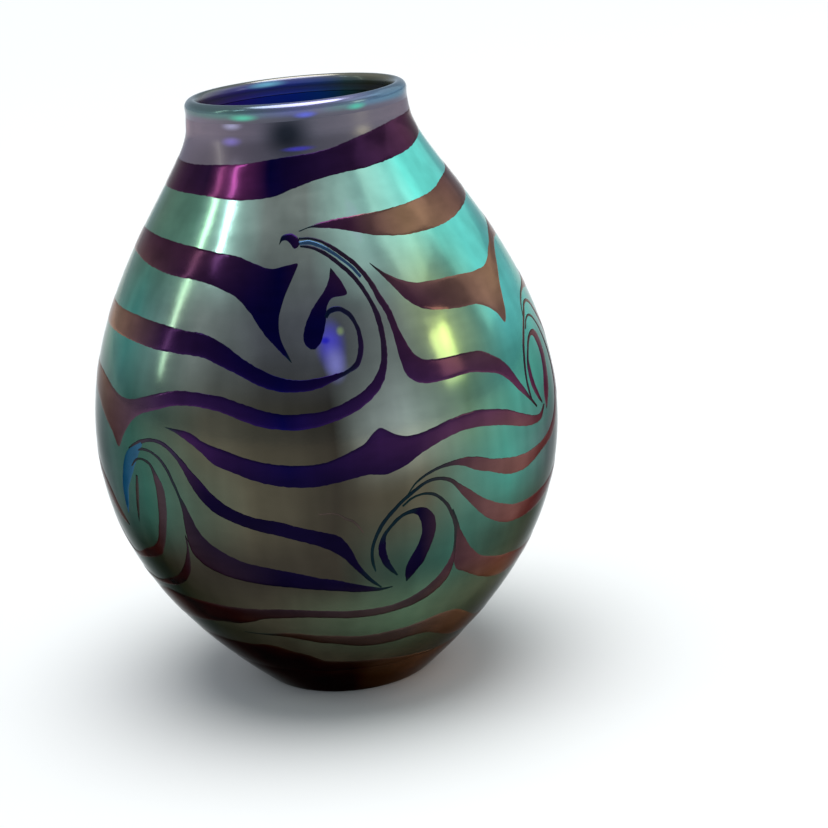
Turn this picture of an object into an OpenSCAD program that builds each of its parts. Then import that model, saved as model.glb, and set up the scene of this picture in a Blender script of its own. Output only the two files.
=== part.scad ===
/* [Outer wall] */
// Radius of the foot where the wall starts
foot_r = 25.6; // [25:0.1:27]
// Largest radius of the belly
belly_r = 70.1; // [69:0.1:71]
// Height of the widest point of the belly
belly_z = 80; // [79:0.5:81]
// Radius of the neck below the lip
neck_r = 33; // [32.5:0.1:33.5]
// Height where the shoulder has turned into the neck
neck_z = 172; // [171.5:0.1:172.5]
// Overall height, to the top of the lip
lip_z = 180; // [179.5:0.1:181]

/* [Glass layers] */
// Thickness of the silver lustre layer
lustre_t = 0.8; // [0.6:0.1:1.0]
// Thickness of the amethyst casing between lustre and core
casing_t = 1.4; // [1.2:0.1:1.6]
// Thickness of the cobalt core around the hollow
core_t = 1.8; // [1.6:0.1:2.0]
// Height where the lustre layer stops below the neck
lustre_top_z = 166; // [164:1:168]
// Height of the underside of the core, on the axis
core_floor_z = 6; // [5:0.5:7]
// Height of the bottom of the hollow, on the axis
hollow_floor_z = 12; // [11:0.5:13]

/* [Lip and foot] */
// Radius of the rolled edge of the lip
lip_roll_r = 2.4; // [2.2:0.1:2.5]
// How far the lip roll stands out past the neck
lip_overhang = 0.1; // [0:0.1:0.3]
// Radius of the polished hollow under the foot
pontil_r = 14; // [10:1:16]
// Depth of the polished hollow under the foot
pontil_depth = 1.6; // [1:0.1:2]
// Height of the dark wrap around the foot
foot_wrap_z = 12.5; // [12:0.5:13]

/* [Threads] */
// How far a thread stands proud of the lustre layer
thread_rise = 0.35; // [0.3:0.05:0.5]
// How deep a thread is pressed into the lustre layer
thread_sink = 0.1; // [0.1:0.05:0.3]
// Part of a thread's width that each sloping side takes
thread_bevel = 0.22; // [0.15:0.01:0.35]

/* [Hidden] */
$fn = 128;

// Colours of the glass
cobalt = [0.10, 0.10, 0.42];
amethyst = [0.52, 0.48, 0.56];
silver_lustre = [0.50, 0.66, 0.58];
night_blue = [0.12, 0.05, 0.24];
steel_blue = [0.29, 0.44, 0.53];

// The outer wall runs as two Bezier curves, foot to belly and belly to neck, then a short neck.
belly_steps = 22;
shoulder_steps = 26;
foot_lean = [26.9, 23.5];
belly_pull_low = 32.5;
belly_pull_high = 46.5;
neck_pull = 12.5;
neck_step_z = 2;
neck_waist = 0.3;

function bezier(a, b, c, d, t) =
  a * pow(1 - t, 3) + 3 * b * t * pow(1 - t, 2) + 3 * c * t * t * (1 - t) + d * pow(t, 3);

neck_base_z = lip_z - 2 * lip_roll_r - 0.2;
wall = concat(
  [for (i = [0 : belly_steps - 1])
    bezier([foot_r, 0], [foot_r, 0] + foot_lean, [belly_r, belly_z - belly_pull_low],
           [belly_r, belly_z], i / belly_steps)],
  [for (i = [0 : shoulder_steps])
    bezier([belly_r, belly_z], [belly_r, belly_z + belly_pull_high],
           [neck_r - neck_waist, neck_z - neck_pull], [neck_r, neck_z], i / shoulder_steps)],
  [[neck_r - neck_waist / 2, neck_z + neck_step_z / 2], [neck_r - neck_waist, neck_base_z]]
);
wall_last = len(wall) - 1;
wall_by_z = [for (p = wall) [p.y, p.x]];
lustre_last = len([for (p = wall) if (p.y < lustre_top_z) p]) - 1;

function unit(v) = v / norm(v);
function wall_run(i) = unit(wall[min(i + 1, wall_last)] - wall[max(i - 1, 0)]);
function wall_out(i) = [wall_run(i).y, -wall_run(i).x];
// A point of the wall, moved inwards by a depth
function inset(i, depth) = wall[i] - wall_out(i) * depth;
// The same on the flat cut at the top of the neck
function rim_cut(depth) = [neck_r - neck_waist - depth, neck_base_z];

// A floor that leaves the axis level and runs into a layer of the wall
floor_steps = 8;
floor_reach = 0.6;
floor_pull = 9;
function floor_curve(z, i, depth) =
  [for (k = [0 : floor_steps - 1])
    bezier([0, z], [inset(i, depth).x * floor_reach, z],
           inset(i, depth) - wall_run(i) * floor_pull, inset(i, depth), k / floor_steps)];

core_depth = lustre_t + casing_t;
hollow_depth = core_depth + core_t;
core_start = 3;
hollow_start = 5;
lustre_edge = inset(lustre_last, 0);

core_outside = concat(
  floor_curve(core_floor_z, core_start, core_depth),
  [for (i = [core_start : wall_last - 1]) inset(i, core_depth)],
  [rim_cut(core_depth)]
);
core_inside = concat(
  floor_curve(hollow_floor_z, hollow_start, hollow_depth),
  [for (i = [hollow_start : wall_last - 1]) inset(i, hollow_depth)],
  [rim_cut(hollow_depth)]
);
casing_outside = concat(
  [for (i = [0 : lustre_last]) inset(i, lustre_t)],
  [for (i = [lustre_last : wall_last - 1]) inset(i, 0)],
  [rim_cut(0)]
);
pontil_steps = 8;
foot_ring_r = inset(0, lustre_t).x;
pontil_arch = [for (k = [0 : pontil_steps])
  [pontil_r * sin(90 * k / pontil_steps), pontil_depth * cos(90 * k / pontil_steps)]];

function backwards(list) = [for (i = [len(list) - 1 : -1 : 0]) list[i]];

// Threads. A station of a thread is [angle, height, angle, height]: the two edges of the ribbon,
// the one on the left of its run first. Angles count from the front, to the right, in degrees.
station_spacing = 6;

function outer_r(z) = lookup(z, wall_by_z);
function wall_tilt(z) = unit([1, outer_r(z - 1) / 2 - outer_r(z + 1) / 2]);
function on_wall(angle, z, rise) =
  let (r = outer_r(z) + rise * wall_tilt(z).x)
  [r * sin(angle), -r * cos(angle), z + rise * wall_tilt(z).y];

function moved(stations, angle, z) = [for (s = stations) s + [angle, z, angle, z]];
function gap(s, i) = max(norm(s[i + 1] - s[i]), 0.01);
function slope(s, i) = (s[i + 1] - s[i]) / gap(s, i);
function tangent(s, i) =
  i == 0 ? slope(s, 0) :
  i == len(s) - 1 ? slope(s, i - 1) :
  (slope(s, i - 1) * gap(s, i) + slope(s, i) * gap(s, i - 1)) / (gap(s, i - 1) + gap(s, i));
function between(s, i, t) =
  bezier(s[i], s[i] + tangent(s, i) * gap(s, i) / 3,
         s[i + 1] - tangent(s, i + 1) * gap(s, i) / 3, s[i + 1], t);
function smooth(s) = concat(
  [for (i = [0 : len(s) - 2])
    let (n = max(1, ceil(gap(s, i) / station_spacing)))
    for (k = [0 : n - 1]) between(s, i, k / n)],
  [s[len(s) - 1]]
);
function ribbon_ring(s) =
  let (left = [s[0], s[1]], right = [s[2], s[3]], in = (right - left) * thread_bevel)
  [on_wall(left.x, left.y, -thread_sink), on_wall(right.x, right.y, -thread_sink),
   on_wall(right.x - in.x, right.y - in.y, thread_rise),
   on_wall(left.x + in.x, left.y + in.y, thread_rise)];

// One thread, swept along its smoothed stations as a closed ribbon
module ribbon(stations) {
  rings = [for (s = smooth(stations)) ribbon_ring(s)];
  last = len(rings) - 1;
  points = [for (r = rings) each r];
  sides = [for (i = [0 : last - 1], k = [0 : 3])
    let (a = 4 * i + k, b = 4 * i + (k + 1) % 4)
    each [[a, a + 4, b + 4], [a, b + 4, b]]];
  ends = [[0, 1, 2], [0, 2, 3], [4 * last + 2, 4 * last + 1, 4 * last], [4 * last + 3, 4 * last + 2, 4 * last]];
  polyhedron(points, concat(sides, ends), convexity = 10);
}

// Threads around the upper front swirl
front_tip = [
  [17.5, 136.5, 17.5, 136.2], [21.5, 133.2, 20, 133], [25.5, 130.9, 22.5, 129.6], [30, 129.4, 25.5, 125.5],
  [35, 129, 29, 122.7], [40, 128.8, 35.5, 121], [44.5, 128.6, 42, 120.2]
];
front_tail = [
  [-45, 143.3, -45, 135.1], [-38, 142.7, -38, 134.7], [-30, 141.7, -31, 133.5], [-24, 141, -26, 132],
  [-17, 138.8, -21.5, 129.7], [-12.5, 137.6, -18, 126.3], [-7.5, 138.2, -16.2, 123.8],
  [-4.3, 138.5, -15, 122.2], [-7, 134, -13, 119.7], [-9.7, 128, -11.5, 118.2], [-10.2, 122, -10.5, 117],
  [-7.2, 113.6, -7.4, 113.6]
];
front_curl = [
  [-45, 122.7, -45, 115.9], [-38, 121.9, -38, 115.6], [-31, 121.2, -31, 115.1], [-25, 118.7, -25.5, 113],
  [-20, 115.3, -20.5, 110.7], [-15, 112.2, -15.5, 107.9], [-10, 109.8, -10.3, 106.2], [-5.3, 108.9, -5.3, 105.8],
  [-0.8, 109.2, -1.3, 106.3], [3.2, 109.8, 2.5, 107.8], [6.2, 110.6, 6.5, 109.5], [8.3, 112.4, 9, 111],
  [9.4, 115.3, 10.5, 114], [9.8, 118.7, 11, 117.5], [9.3, 121.8, 10.5, 121.5], [7.9, 124.2, 9, 124.8],
  [5.6, 125.5, 6, 126.8], [3.6, 125, 3, 126.2], [2.7, 124, 2, 124.6]
];
front_loop = [
  [-45, 104.4, -45, 99.8], [-38, 106, -38.5, 101.8], [-30, 105.8, -31, 102], [-25, 105.1, -25.5, 101],
  [-20, 103.4, -20.5, 99], [-15, 101.5, -15.5, 97], [-10, 100.2, -10, 96], [-5, 100, -5, 95.8],
  [-0.8, 100.3, -0.5, 96.6], [3.2, 101.5, 4, 98], [7, 103.2, 8.5, 100.2], [10, 105.1, 12, 103],
  [12.8, 108, 14.5, 106.2], [14.5, 111.4, 16, 110.5], [15.3, 115.3, 16.8, 115], [15.5, 119, 17, 119.5],
  [15.2, 123.5, 16.6, 124], [14.5, 126.7, 15.6, 127.3], [12.8, 130.6, 13.9, 131.3], [10.3, 134.4, 11.3, 135.2],
  [7.7, 136.9, 8.6, 137.7], [5, 139.2, 5.7, 140.1], [2, 141, 2.3, 141.9], [-1, 142, -1, 142.8],
  [-3.2, 142.4, -3.2, 142.9]
];
front_down = [
  [-3.4, 144.9, -3.5, 144.3], [0.3, 144.7, 0.3, 144], [3.7, 143.8, 3.7, 142.9], [7.1, 142.1, 6.9, 140.9],
  [10.5, 139.7, 9.8, 138.7], [13.4, 137.2, 12.6, 136.1], [15.2, 134.9, 14.3, 133.8], [17, 131.8, 15.8, 130.7],
  [18.5, 127.8, 17, 126.7], [20, 124.2, 18.3, 123.3], [20.8, 119.7, 19, 118.7], [22, 115.3, 19.3, 114],
  [23.3, 112, 19.6, 109.7], [25.3, 110, 20.2, 106.8], [28.7, 109.2, 22, 104.6], [33, 108.9, 25, 103.4],
  [38, 108.7, 31, 103.1], [43, 107.8, 38, 103.1], [46, 106, 43, 101.7], [49, 103.7, 46.8, 100.2],
  [51.5, 100.6, 50, 97.4], [54.2, 95.8, 53, 93.6], [57, 91.2, 56.3, 90.2], [60.5, 86.5, 60.2, 86]
];
front_comma_run = [
  [5.5, 136.6, 5.3, 136.3], [6.8, 134.9, 4.6, 134.2], [8.3, 132.3, 3.3, 131.8], [9, 129.6, 1.8, 130],
  [4.6, 128.9, 0.4, 128.5], [3, 127, -1.2, 126.6], [2.5, 124.6, -2.5, 124.4], [1.9, 122, -3.5, 122],
  [1.2, 120, -3.9, 120], [0, 117.6, -3.6, 117.9], [-1.2, 116.5, -2.4, 116.6]
];
front_hook_run = [
  [-10, 143.6, -9.9, 143.4], [-9.2, 145.4, -8.9, 144.3], [-7.5, 146, -7.6, 144.3], [-5.5, 145.9, -6.3, 143.4],
  [-3.7, 144.9, -5.2, 142.2], [-3.1, 143.3, -4.2, 142.3]
];
front_film_run = [
  [-3.5, 143.9, -3.3, 143], [0.3, 143.9, 0, 142.8], [3.7, 142.7, 3, 141.8], [7, 140.7, 6, 140.2],
  [9.8, 138.5, 9, 138], [12.6, 135.9, 11.6, 135.6], [14.2, 133.6, 13.5, 133]
];

// Threads around the lower front swirl, which the hidden swirls repeat
lower_ring_run = [
  [13.7, 49, 14.1, 49.2], [11.4, 51.7, 12.8, 52.1], [10.1, 54, 11.7, 54.8], [9.2, 57, 11.1, 57.5],
  [9.2, 59.7, 11, 60.2], [10.1, 62.8, 11.3, 62.8], [12, 65.5, 12.8, 65.1], [14, 67.8, 14.6, 67],
  [16.4, 69.1, 16.4, 68], [18.6, 69.5, 18, 68], [20.8, 69.1, 19, 67], [22.6, 67.3, 19.7, 65],
  [23.5, 64.6, 20, 62.4], [23.6, 61.5, 19.5, 59.7], [23, 58.4, 18.4, 56.6], [22, 55.3, 16.8, 53.5],
  [20.8, 52, 16, 50.8], [19, 49.4, 16, 48.6], [16.6, 46.3, 16.3, 46.5]
];
lower_over = [
  [8.2, 51.5, 8.5, 51.7], [7.3, 54.8, 8.1, 54.8], [7.2, 58, 8, 58], [7.7, 61, 8.6, 61],
  [8.8, 64.2, 9.7, 63.9], [10.5, 67.5, 11.4, 67], [12.8, 70.4, 13.5, 69.6], [15.5, 73, 16, 72.2],
  [18.3, 75.2, 18.8, 74.3], [21.3, 76.9, 21.5, 76], [23.3, 77.3, 23.3, 76.3], [25.5, 77, 25.3, 76],
  [28, 75.8, 27.8, 74.5], [30.2, 73.6, 29.3, 72.3], [33, 71, 31.3, 69.2], [36, 68, 33.7, 66],
  [40, 65, 37, 62], [43.6, 63, 40, 59.3]
];
lower_tip = [
  [16.5, 73.8, 16.6, 73.5], [19, 77.3, 19.3, 76.8], [21.3, 78.9, 21.6, 78.2], [24.8, 80.2, 25, 79.3],
  [28, 80.7, 28, 79.4], [32.4, 80.7, 31.5, 78.4], [37, 79.3, 34.7, 76.2]
];
lower_under = [
  [1, 38.6, 1, 35.7], [8, 38.4, 8, 35.5], [12.3, 38.6, 12.5, 35.8], [16.8, 39.7, 17.5, 36.6],
  [19.8, 41, 21, 37.6], [22.6, 42.8, 24.3, 39.2], [25, 45, 27, 41.5], [26.8, 47.4, 28.7, 43.8],
  [28, 49.8, 29.7, 47.2], [28.8, 52.5, 29.8, 51], [29, 55, 29.6, 55], [28.9, 58, 29.6, 58],
  [28.5, 61.5, 29.3, 61.7], [27.6, 64.6, 28.4, 65], [26.6, 67.3, 27.4, 67.8], [25, 70, 25.6, 70.6],
  [23, 72, 23.4, 72.8], [20.5, 72.9, 20.6, 73.6], [18, 72.4, 17.8, 73], [15.5, 70.5, 15.2, 71]
];
lower_down = [
  [28.3, 66.5, 28, 66.3], [29.7, 62.5, 29.1, 62], [30.7, 59.2, 29.4, 58], [32, 56.6, 29.5, 55.2],
  [33.8, 53.5, 29.6, 52.2], [36.4, 50.3, 29.8, 49.2], [39, 48, 31, 46.4], [43.6, 46, 34.5, 44]
];
// Ends of the threads that dive to the foot of such a swirl from its left
lower_tail = [
  [-5, 66.7, -6.5, 62.6], [-2, 65.6, -3.4, 61], [0.3, 64.3, -0.8, 58.8], [1.8, 62, 1, 57],
  [3, 59, 2.3, 54.8], [4.3, 54.8, 3.8, 52.5], [5.8, 51.8, 5.3, 50.4], [7.6, 49, 7.1, 48],
  [9.9, 46, 9.6, 45.7]
];
lower_point = [
  [-5.5, 51.3, -6.5, 47.2], [-1, 50, -1, 46.2], [2.5, 48.4, 3, 45.3], [6, 47, 6.5, 44.9],
  [9.5, 45.7, 9.7, 44.7], [12.8, 45.5, 12.8, 45.2]
];

// Places of the hidden swirls, as turns and drops from the lower front swirl
right_place = [50, 37];
far_right_place = [114, 30];
back_place = [174, 22];
far_left_place = [234, 15];
turn = 360;

function placed(run, place) = moved(run, place[0], place[1]);

neck_run = [
  [-3.5, 146.5, -3, 146.3], [0.5, 147.4, 0.5, 147], [4, 148.1, 5, 146.6], [9, 148.5, 9.5, 146],
  [15, 148.7, 15, 144.7], [24, 148.8, 22, 143], [32, 149, 31, 141.7], [42, 149.5, 42, 141.4],
  [56, 150.6, 55, 142], [67, 152.3, 66, 143.3], [78, 153.2, 78, 144.6], [120, 156, 120, 148],
  [180, 159, 180, 151], [240, 162, 240, 154.5], [285, 163.5, 285, 156], [300, 163.5, 300, 156],
  [315, 163.8, 315, 155.8], [335, 164.3, 335, 154.8], [345, 165, 346, 155.3], [360, 165.7, 360, 158],
  [370, 166.2, 370, 159.3], [390, 168.5, 390, 160.2], [416, 170.8, 416, 162], [435, 171.3, 435, 164],
  [470, 172.3, 470, 166.5], [510, 173.2, 510, 170], [540, 173.8, 540, 173.3]
];
shoulder_run = concat(
  front_tip,
  [[48.5, 128.3, 47.5, 119.7], [51.5, 128, 51.2, 118], [54.5, 128, 54.3, 115.2], [56.5, 128, 56, 112.3],
   [58.5, 128.2, 58, 114.4], [60.5, 128.7, 60, 118.4], [63, 129.5, 62.3, 122.3], [66.5, 131.2, 66, 126],
   [70.5, 132.6, 70, 129.2], [75, 134.2, 75, 131.3], [90, 137, 90, 131.5], [130, 139, 130, 132],
   [190, 140, 190, 133], [250, 142.5, 250, 135.8], [285, 144.5, 285, 138], [300, 144.2, 300, 136.5]],
  moved(front_tail, turn, 0)
);
upper_run = concat(
  placed([for (i = [0 : 4]) lower_tip[i]], right_place),
  [[84, 118.5, 84, 115.5], [95, 119.5, 95, 114.5], [130, 121.5, 130, 115.5], [190, 122, 190, 115.5],
   [250, 123, 250, 116.5], [285, 124, 285, 117.5], [300, 123.8, 300, 117]],
  moved(front_curl, turn, 0)
);
middle_run = concat(
  placed([for (i = [0 : 4]) lower_tip[i]], far_right_place),
  [[150, 110.8, 149, 107.5], [165, 109.5, 165, 104.5], [190, 108, 190, 102.5], [250, 106.5, 250, 100.5],
   [275, 106, 275, 99.5], [286, 105.5, 285, 97], [292, 104, 291, 93.5], [297, 102.3, 296.5, 90],
   [301, 101.3, 300, 86.5], [304, 101.3, 302.5, 90.5], [307, 101.8, 305.5, 94.5], [311, 103, 309, 97.5]],
  moved(front_loop, turn, 0)
);
belly_run = [
  [-41.2, 95.7, -41.2, 95.5], [-37.5, 95.5, -37.7, 94.3], [-33.7, 94.8, -34, 92], [-30, 92.6, -31, 89.8],
  [-25.7, 91, -28, 86.8], [-21.5, 89.3, -23, 84.4], [-18, 88, -18.5, 82.3], [-14, 87, -14, 80.8],
  [-10, 86.3, -10, 80], [-5, 86, -5, 79.6], [-1, 86.4, -0.5, 80], [4.7, 88.7, 4.7, 81],
  [8, 90.5, 8.5, 81.4], [10.3, 93, 10.8, 81], [11.8, 94, 12, 80.8], [13.5, 93, 14, 81.3],
  [16.5, 91, 17.5, 82.7], [20, 90.5, 20, 84.4], [24, 91.2, 24, 86.3], [28, 92.2, 28, 87.6],
  [32.5, 92.8, 32.5, 88.3], [37, 92.8, 37, 88], [41.5, 91.8, 41.5, 87], [46, 90.3, 46, 85.6],
  [52, 87.3, 52, 83.2], [57.5, 84.6, 57.5, 81.8], [61.5, 83.8, 62.2, 82], [64.5, 85.5, 65.3, 85.2]
];
foot_run = [
  [-34, 29.7, -34, 29.5], [-25, 30, -25, 29.3], [-20, 30.6, -20, 29], [-15, 30.4, -15, 27.8],
  [-10, 29.6, -10, 26.4], [-4, 29, -4.5, 25.4], [5, 27.8, 5, 23.2], [15, 28.2, 15, 23],
  [23, 29, 23, 23.7], [28, 30, 28, 23.3], [33, 30.2, 33, 21.5], [38, 29.3, 38, 19.5],
  [43, 26.8, 43, 18], [52, 22.5, 52, 16.5], [90, 24, 90, 19], [150, 35, 150, 31], [200, 48, 200, 44.5]
];
left_film_run = [
  [-61, 66, -60.6, 66], [-61, 70, -58.8, 70], [-60.4, 75, -57.2, 75], [-59, 80, -55, 78.6],
  [-57, 84.8, -52.8, 82.8], [-54, 88.2, -51, 86.3], [-50.2, 90.4, -49.4, 89.4]
];
left_over = [
  [-55.2, 87.4, -55, 87], [-52.6, 89.4, -52, 88.6], [-49.5, 91, -48.9, 90], [-46, 91.8, -45.8, 90.8], [-42.5, 91.6, -43, 90.5],
  [-39.5, 90, -40.3, 89], [-37.3, 88, -38, 86.8], [-35.5, 86.2, -36.9, 85], [-34.3, 84.5, -35.6, 82.4],
  [-32, 82, -34, 79], [-29.8, 79, -32, 75.7], [-27.3, 76.3, -29.8, 73], [-24.5, 74, -27, 71],
  [-21.5, 72.3, -23.5, 69.2], [-18, 71, -19.5, 67.4], [-13.5, 70, -14.5, 65.8], [-10, 68.6, -10.5, 64.3]
];
left_down = [
  [-52.5, 87.2, -52.3, 86.5], [-50, 88.4, -50, 87.6], [-47, 88.4, -47, 87.6], [-43.7, 87, -44.2, 86.3],
  [-41, 84, -41.7, 83.4], [-39.3, 80, -40.1, 79.7], [-38, 76.2, -38.8, 76], [-36.7, 73, -38.2, 72],
  [-35.6, 69.5, -38.4, 67], [-34, 65.2, -38.6, 62.5], [-31.6, 62, -38.3, 58.5], [-28.4, 59.5, -36, 54.8],
  [-24.7, 57.3, -31.5, 52.2], [-18, 55.3, -23, 49.8], [-10, 53, -13, 48.3]
];
left_under = [
  [120, 17, 120, 16.5], [150, 22, 150, 19], [200, 33, 200, 29], [250, 40.5, 250, 36.5], [285, 43, 285, 40],
  [302.3, 44.3, 302.3, 42.6], [306.5, 46, 305.7, 43.2], [310.8, 47.8, 309.8, 44.4], [314, 50, 313, 46],
  [317.2, 53.6, 316, 48.4], [319.3, 57.3, 318.8, 52], [320.4, 60, 320.5, 57.5], [321, 64, 321.3, 62]
];
left_ring_run = [
  [-68, 51, -67, 49.5], [-62, 53, -61, 51], [-57.7, 55.2, -57, 52.2], [-54.5, 56.5, -53.5, 53.4],
  [-52, 58, -50.3, 55.3], [-49.7, 60.5, -48, 58.4], [-48, 64.3, -45.6, 63], [-46.5, 69, -43.7, 68.8],
  [-46, 72.8, -43, 73], [-45.7, 76, -43, 77], [-46, 79.7, -44, 80.3], [-46.4, 82, -45.3, 82.4],
  [-47.3, 83.8, -46.9, 84.6], [-49.3, 84.7, -49.2, 85.4], [-51.5, 84.5, -52, 85], [-54, 82, -54.6, 82.4]
];
left_vein_run = [
  [-56.2, 64.5, -56, 64.4], [-55.6, 67.5, -54.8, 67.3], [-54.7, 71.7, -53.6, 71.5], [-53.8, 76, -52.6, 75.8],
  [-53, 79.8, -52.2, 79.5]
];
lower_under_run = concat(
  [[-110, 20, -110, 18.5], [-90, 28, -90, 22], [-72, 37, -72, 27], [-60, 40.5, -60, 29.5],
   [-46, 40.3, -47, 31.5], [-40.5, 40.2, -40.5, 32.8], [-33, 40, -33, 33.3], [-28, 40, -28, 34.7],
   [-24.5, 40, -24.5, 36], [-18, 40.3, -18, 36.8], [-10, 39.8, -10, 37], [-5, 39.3, -5, 36.5]],
  lower_under
);
foot_rim = [
  [-125, 13.5, -125, 13], [-90, 19, -90, 12], [-60, 23.5, -60, 12], [-42, 24, -42, 12],
  [-33.5, 24.2, -33.5, 12], [-29.5, 24.7, -29.5, 12], [-25, 24.2, -25, 12], [-20, 22.2, -20, 12],
  [-15, 20.6, -15, 12], [-10, 17.8, -10, 12], [-4, 17, -4, 12], [9, 16, 9, 12], [25, 14.3, 25, 12],
  [40, 13, 40, 12.6]
];
lower_hair_run = [
  [-4, 71.8, -4, 71.4], [0.3, 71.4, 0.3, 70.9], [2.3, 69.8, 1.9, 69.3], [3.8, 68.8, 3.3, 68.4],
  [5, 67, 4.5, 66.8], [6, 64.6, 5.7, 64.6]
];

right_over_run = concat(placed(lower_over, right_place), placed(lower_tail, far_right_place));
right_down_run = concat(placed(lower_down, right_place), placed(lower_point, far_right_place));
right_under_run = concat(
  lower_tip,
  [[40, 77.8, 38.5, 74.5], [43.6, 76.7, 42.5, 72.5], [48, 75.6, 47, 70.8], [52, 75, 52, 70.3],
   [57, 75, 57, 71.2]],
  placed([for (i = [2 : len(lower_under) - 1]) lower_under[i]], right_place)
);
far_right_over_run = concat(placed(lower_over, far_right_place), placed(lower_tail, back_place));
far_right_down_run = concat(placed(lower_down, far_right_place), placed(lower_point, back_place));
far_right_under_run = concat(
  lower_over,
  [[48, 61, 46, 56], [54, 60, 53, 54.8], [64, 60, 64, 55], [90, 64.5, 90, 60.5]],
  placed(lower_under, far_right_place)
);
back_over_run = concat(placed(lower_over, back_place), placed(lower_tail, far_left_place));
back_down_run = concat(placed(lower_down, back_place), placed(lower_point, far_left_place));
back_under_run = concat(
  lower_down,
  [[48, 44.5, 40, 40.6], [53, 43.5, 46, 38], [60, 42, 55, 35.8], [75, 41.5, 73, 36.5],
   [110, 47, 110, 43], [145, 55, 145, 51.5]],
  placed(lower_under, back_place)
);
far_left_over_run = concat(
  placed(lower_over, far_left_place),
  [[284, 75, 281, 71], [290, 71, 287.5, 66.5], [294, 66, 292.5, 62.5], [297, 61.5, 296.6, 61]]
);
far_left_down_run = concat(
  placed(lower_down, far_left_place),
  moved(left_ring_run, turn, 0)
);
far_left_under_run = concat(foot_run, placed(lower_under, far_left_place));
left_over_run = concat(left_over, lower_tail);
left_down_run = concat(left_down, lower_point);

module core_gather() {
  color(cobalt)
    rotate_extrude()
      polygon(concat(core_outside, backwards(core_inside)));
}

module casing_gather() {
  color(amethyst)
    rotate_extrude()
      polygon(concat(pontil_arch, [[foot_ring_r - 0.6, 0]], casing_outside, backwards(core_outside)));
}

module lustre_overlay() {
  color(silver_lustre)
    rotate_extrude()
      polygon(concat(
        [for (i = [0 : lustre_last]) inset(i, 0)],
        [for (i = [lustre_last : -1 : 0]) inset(i, lustre_t)]
      ));
}

// Lip rolled outwards in the fire: a flat seat on the cut neck and a round edge
module lip_bead() {
  roll_x = neck_r - neck_waist + lip_overhang - lip_roll_r;
  color(amethyst)
    rotate_extrude() {
      translate([roll_x, lip_z - lip_roll_r])
        circle(lip_roll_r, $fn = 48);
      translate([roll_x - lip_roll_r + 0.4, neck_base_z])
        square([2 * lip_roll_r - 0.4 - lip_overhang, lip_roll_r]);
    }
}

module foot_wrap() {
  last = len([for (p = wall) if (p.y < foot_wrap_z) p]) - 1;
  color(night_blue)
    rotate_extrude()
      polygon(concat(
        [for (i = [0 : last]) inset(i, 0)],
        [for (i = [last : -1 : 1]) inset(i, -thread_rise)],
        [[foot_r + thread_rise, 0]]
      ));
}

module neck_turn() { color(night_blue) ribbon(neck_run); }
module shoulder_turn() { color(night_blue) ribbon(shoulder_run); }
module upper_turn() { color(night_blue) ribbon(upper_run); }
module middle_turn() { color(night_blue) ribbon(middle_run); }
module belly_turn() { color(night_blue) ribbon(belly_run); }
module foot_turn() { color(night_blue) ribbon(foot_rim); }
module front_leg() { color(night_blue) ribbon(front_down); }
module front_comma() { color(night_blue) ribbon(front_comma_run); }
module front_hook() { color(night_blue) ribbon(front_hook_run); }
module front_film() { color(steel_blue) ribbon(front_film_run); }
module right_ring() { color(night_blue) ribbon(placed(lower_ring_run, right_place)); }
module right_arch() { color(night_blue) ribbon(right_over_run); }
module right_leg() { color(night_blue) ribbon(right_down_run); }
module right_loop() { color(night_blue) ribbon(right_under_run); }
module far_right_ring() { color(night_blue) ribbon(placed(lower_ring_run, far_right_place)); }
module far_right_arch() { color(night_blue) ribbon(far_right_over_run); }
module far_right_leg() { color(night_blue) ribbon(far_right_down_run); }
module far_right_loop() { color(night_blue) ribbon(far_right_under_run); }
module back_ring() { color(night_blue) ribbon(placed(lower_ring_run, back_place)); }
module back_arch() { color(night_blue) ribbon(back_over_run); }
module back_leg() { color(night_blue) ribbon(back_down_run); }
module back_loop() { color(night_blue) ribbon(back_under_run); }
module far_left_ring() { color(night_blue) ribbon(placed(lower_ring_run, far_left_place)); }
module far_left_arch() { color(night_blue) ribbon(far_left_over_run); }
module far_left_leg() { color(night_blue) ribbon(far_left_down_run); }
module far_left_loop() { color(night_blue) ribbon(far_left_under_run); }
module left_film() { color(steel_blue) ribbon(left_film_run); }
module left_vein() { color(night_blue) ribbon(left_vein_run); }
module left_arch() { color(night_blue) ribbon(left_over_run); }
module left_leg() { color(night_blue) ribbon(left_down_run); }
module left_loop() { color(night_blue) ribbon(left_under); }
module lower_ring() { color(night_blue) ribbon(lower_ring_run); }
module lower_loop() { color(night_blue) ribbon(lower_under_run); }
module lower_hair() { color(night_blue) ribbon(lower_hair_run); }

core_gather();
casing_gather();
lustre_overlay();
lip_bead();
foot_wrap();
neck_turn();
shoulder_turn();
upper_turn();
middle_turn();
belly_turn();
foot_turn();
front_leg();
front_comma();
front_hook();
front_film();
right_ring();
right_arch();
right_leg();
right_loop();
far_right_ring();
far_right_arch();
far_right_leg();
far_right_loop();
back_ring();
back_arch();
back_leg();
back_loop();
far_left_ring();
far_left_arch();
far_left_leg();
far_left_loop();
left_film();
left_vein();
left_arch();
left_leg();
left_loop();
lower_ring();
lower_loop();
lower_hair();
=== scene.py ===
# Hand blown lustre vase: layered glass wall, rolled lip, dark hooked threads on a silver-green skin
import math
import bmesh
import bpy
import numpy as np
from mathutils import Matrix, Vector


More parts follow.
